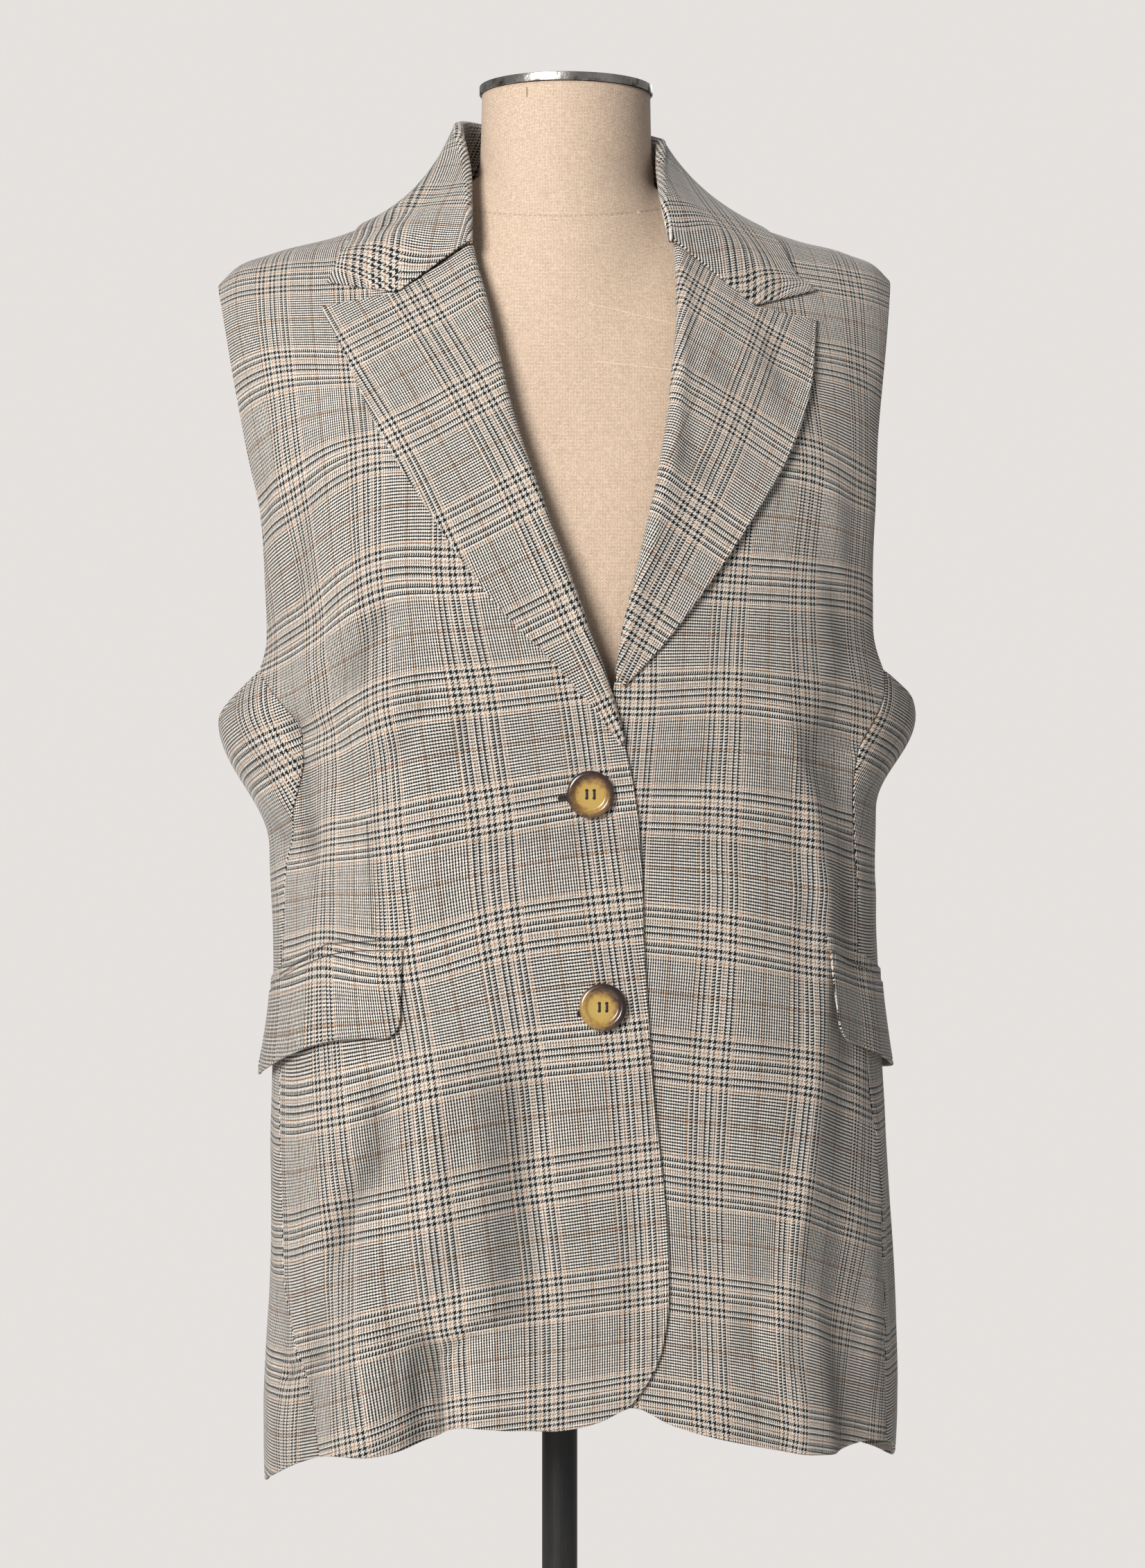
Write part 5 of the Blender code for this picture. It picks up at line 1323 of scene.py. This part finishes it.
FLECK_AT, FLECK_RADIUS = (0.0480, 1.4313), 0.0011
WORN, WORN_HALF = ((1.3385, 0.10, 0.022), (1.3760, 0.22, 0.018)), 0.00022  # height, slope and start
CLOSE_FROM, CLOSE_TO = 1.355, 1.470  # heights between which the form's rings lie close together


def linen():
    made, tree, shader = finish_of("plain_linen", Roughness=0.78, Sheen_Weight=0.18, Sheen_Roughness=0.4,
                                   Specular_IOR_Level=0.35)
    weave_at = parts(tree, node(tree, "UVMap", {"uv_map": "weave"}))
    across, rise = weave_at[0] * (1 / LINEN_PITCH), weave_at[1] * (1 / LINEN_PITCH)
    row = rise.floor()
    shifted = across + (row % 2) * 0.5
    knob_x, knob_y = abs(shifted % 1 - 0.5), abs(rise % 1 - 0.5)
    upright = (shifted.floor() + row) % 2
    knob = (1 - knob_x * knob_x * (1.4 + upright * 2.4)) * (1 - knob_y * knob_y * (3.8 - upright * 2.4))
    pile = by_chance(tree, shifted.floor() + row * 977)
    where = node(tree, "TexCoord", out=3)
    slub, cloudy = noise(tree, where, 320), noise(tree, where, 16, 3)
    x, y, z = parts(tree, where)
    seam_height, ahead, slope, half = NECK_SEAM
    groove = (1 - abs(z - seam_height - (y + ahead) * slope) * (1 / half)).clamp()
    stitch = (x * (1 / STITCH_PITCH)) % 1 < STITCH_SHARE
    nick = (abs(x - NICK_AT[0]) < NICK_HALVES[0]) * (abs(z - NICK_AT[1]) < NICK_HALVES[1]) * (y < 0)
    fleck = (abs(x - FLECK_AT[0]) + abs(z - FLECK_AT[1])) < FLECK_RADIUS
    worn = [(abs(z - up + x * lean) < WORN_HALF) * (x > start) for up, lean, start in WORN]
    # Painted shade: each thread's knob is darker towards its edges, in the gaps between threads; the knob
    # also shapes the bump.
    share = knob * (0.62 + pile * 0.34) * (0.80 + slub * 0.36) * (0.93 + cloudy * 0.14)
    share = share + fleck + (worn[0] + worn[1]) * 0.25
    share = share * (1 - groove * stitch * 0.45) * (1 - nick * 0.9)
    colour = blend(tree, share.clamp(), (0.270, 0.175, 0.112), (0.990, 0.785, 0.615))
    height = knob * 0.6 + slub * 0.3 - groove * 1.6 - nick * 2.0
    feed(tree, shader, Base_Color=colour, Normal=bumps(tree, 0.6, height, 0.0003))
    return made


def form_depth(x, z, back):
    """Depth of the form's half at an x: shoulders under the cloth, and the neck rising out of them."""
    half = smooth(FORM, "half", z)
    reach = smooth(FORM, "back", z) - RIDGE_Y if back else RIDGE_Y - smooth(FORM, "front", z)
    ridge = shoulder(x) - CLOTH - FORM_GAP
    part = np.clip((z - CHEST) / (ridge - CHEST), 0, 1)
    body = reach * np.clip(1 - (np.abs(x) / half) ** SQUARE, 0, 1) ** (1 / SQUARE)
    body = body * (1 - part ** 2) ** (1 / SQUARE)
    radius = smooth(NECK, "radius", z) * ramp(z, 1.25, 1.43)
    neck = np.sqrt(np.clip(radius ** 2 - (x - NECK_X) ** 2, 0, None)) + (-RIDGE_Y if back else RIDGE_Y)
    neck = np.where(radius ** 2 > (x - NECK_X) ** 2, neck, 0)
    return (body ** 5 + np.clip(neck, 0, None) ** 5) ** (1 / 5)


def form_half(z, hand):
    """Half width of the form at a height, on one hand."""
    x = np.linspace(0.03, 0.24, 2101)
    inside = (x < smooth(FORM, "half", z)) & (shoulder(hand * x) - CLOTH - FORM_GAP > z)
    body = x[inside].max() if inside.any() else 0
    return max(body, smooth(NECK, "radius", z) * ramp(z, 1.395, 1.406) + hand * NECK_X)


heights = np.concatenate([
    FORM_BOTTOM + np.array([0, 0.0008, 0.003]), np.linspace(FORM_BOTTOM + 0.008, CLOSE_FROM, 90),
    np.linspace(CLOSE_FROM, CLOSE_TO, 90)[1:], np.linspace(CLOSE_TO, FORM_TOP, 12)[1:],
])
rounding = np.ones(len(heights))
rounding[:3] = 0.975, 0.988, 0.997
ROUND = 180  # points round the form
turns = (np.arange(ROUND) + 0.5) * 2 * np.pi / ROUND - np.pi
rows = []
for z, drawn in zip(heights, rounding):
    wide = np.where(np.sin(turns) > 0, form_half(z, 1), form_half(z, -1))
    x = np.abs(np.sin(turns)) * wide * np.sign(np.sin(turns)) * 0.9995
    behind = np.cos(turns) < 0
    y = np.where(behind, RIDGE_Y + form_depth(x, z, True), RIDGE_Y - form_depth(x, z, False))
    rows.append(joined(x * drawn, RIDGE_Y + (y - RIDGE_Y) * drawn, z + 0 * x))
rings = np.array(rows)
index = np.arange(len(rings) * ROUND).reshape(-1, ROUND)
after = np.roll(index, -1, axis=1)
quads = joined(index[:-1], after[:-1], after[1:], index[1:])
mesh = bpy.data.meshes.new("form_linen")
mesh.from_pydata(rings.reshape(-1, 3).tolist(), [],
                 quads.reshape(-1, 4).tolist() + [index[0, ::-1].tolist(), index[-1].tolist()])
round_at = np.array([run_along(np.vstack([row, row[:1]])) for row in rings])
round_at -= round_at[:, ROUND // 2: ROUND // 2 + 1]
up_at = run_along(rings[:, ROUND // 2])
weave = []
for face in mesh.polygons:
    around = [divmod(v, ROUND) for v in face.vertices]
    wraps = face.loop_total == 4 and {0, ROUND - 1} <= {column for _, column in around}
    for row, column in around:
        weave.append((round_at[row, ROUND if wraps and column == 0 else column], up_at[row]))
mesh.uv_layers.new(name="weave").data.foreach_set("uv", np.array(weave, dtype=np.float32).ravel())
mesh.shade_smooth()
form = bpy.data.objects.new("form_linen", mesh)
scene.collection.objects.link(form)
place_on_stand(form, linen(), "form_torso")

# Cap ---------------------------------------------------------------------------------------------
# A turned metal cap, chromed and worn, with a rounded rim that overhangs the linen a little.
CAP_RADIUS, CAP_THICK = 0.054, 0.0052
cap = begin(bpy.ops.mesh.primitive_cylinder_add, "cap_chrome", vertices=160, radius=CAP_RADIUS,
            depth=CAP_THICK, location=(NECK_X, 0, FORM_TOP + SEAM + CAP_THICK / 2))
bpy.ops.object.transform_apply(location=True)
turn_ends(cap, ((0.0040, 0.0), (0.0010, -0.0008), (0.030, 0.0)), ((0.0012, 0.0), (0.0004, 0.0006)))
finish_edges(cap, 0.0011, 4)
bpy.ops.object.shade_smooth_by_angle(angle=math.radians(35))
chrome, tree, shader = finish_of("worn_chrome", Metallic=1.0)
where = node(tree, "TexCoord", out=3)
patches, scratches = noise(tree, where, 70, 6, Roughness=0.65), noise(tree, where, 620, 3)
pitted = ((patches - 0.50) * 7).clamp()
tarnished = blend(tree, pitted, (0.52, 0.50, 0.47), (0.085, 0.062, 0.048))
feed(tree, shader, Base_Color=tarnished, Roughness=0.16 + pitted * 0.30 + scratches * 0.10,
     Normal=bumps(tree, 0.25, scratches - pitted, 0.0003))
place_on_stand(cap, chrome, "neck_cap")

# Stand -------------------------------------------------------------------------------------------
# A black enamelled tube from the flange under the form to a plain round foot. The solids have the shape,
# and take a paint that is slightly uneven and worn to a softer gloss.
enamel, tree, shader = finish_of("black_enamel")
where = node(tree, "TexCoord", out=3)
stretched = node(tree, "Mapping", None, where, Scale=(60.0, 60.0, 9.0))
drawn_out, fine = noise(tree, stretched, 3, 4), noise(tree, where, 900)
feed(tree, shader, Base_Color=blend(tree, drawn_out, (0.010, 0.010, 0.011), (0.030, 0.028, 0.027)),
     Roughness=0.22 + drawn_out * 0.22, Normal=bumps(tree, 0.15, fine))
for name in ("form_flange", "pole", "base_plate"):
    for slot in bpy.data.objects[name].material_slots:
        slot.material = enamel
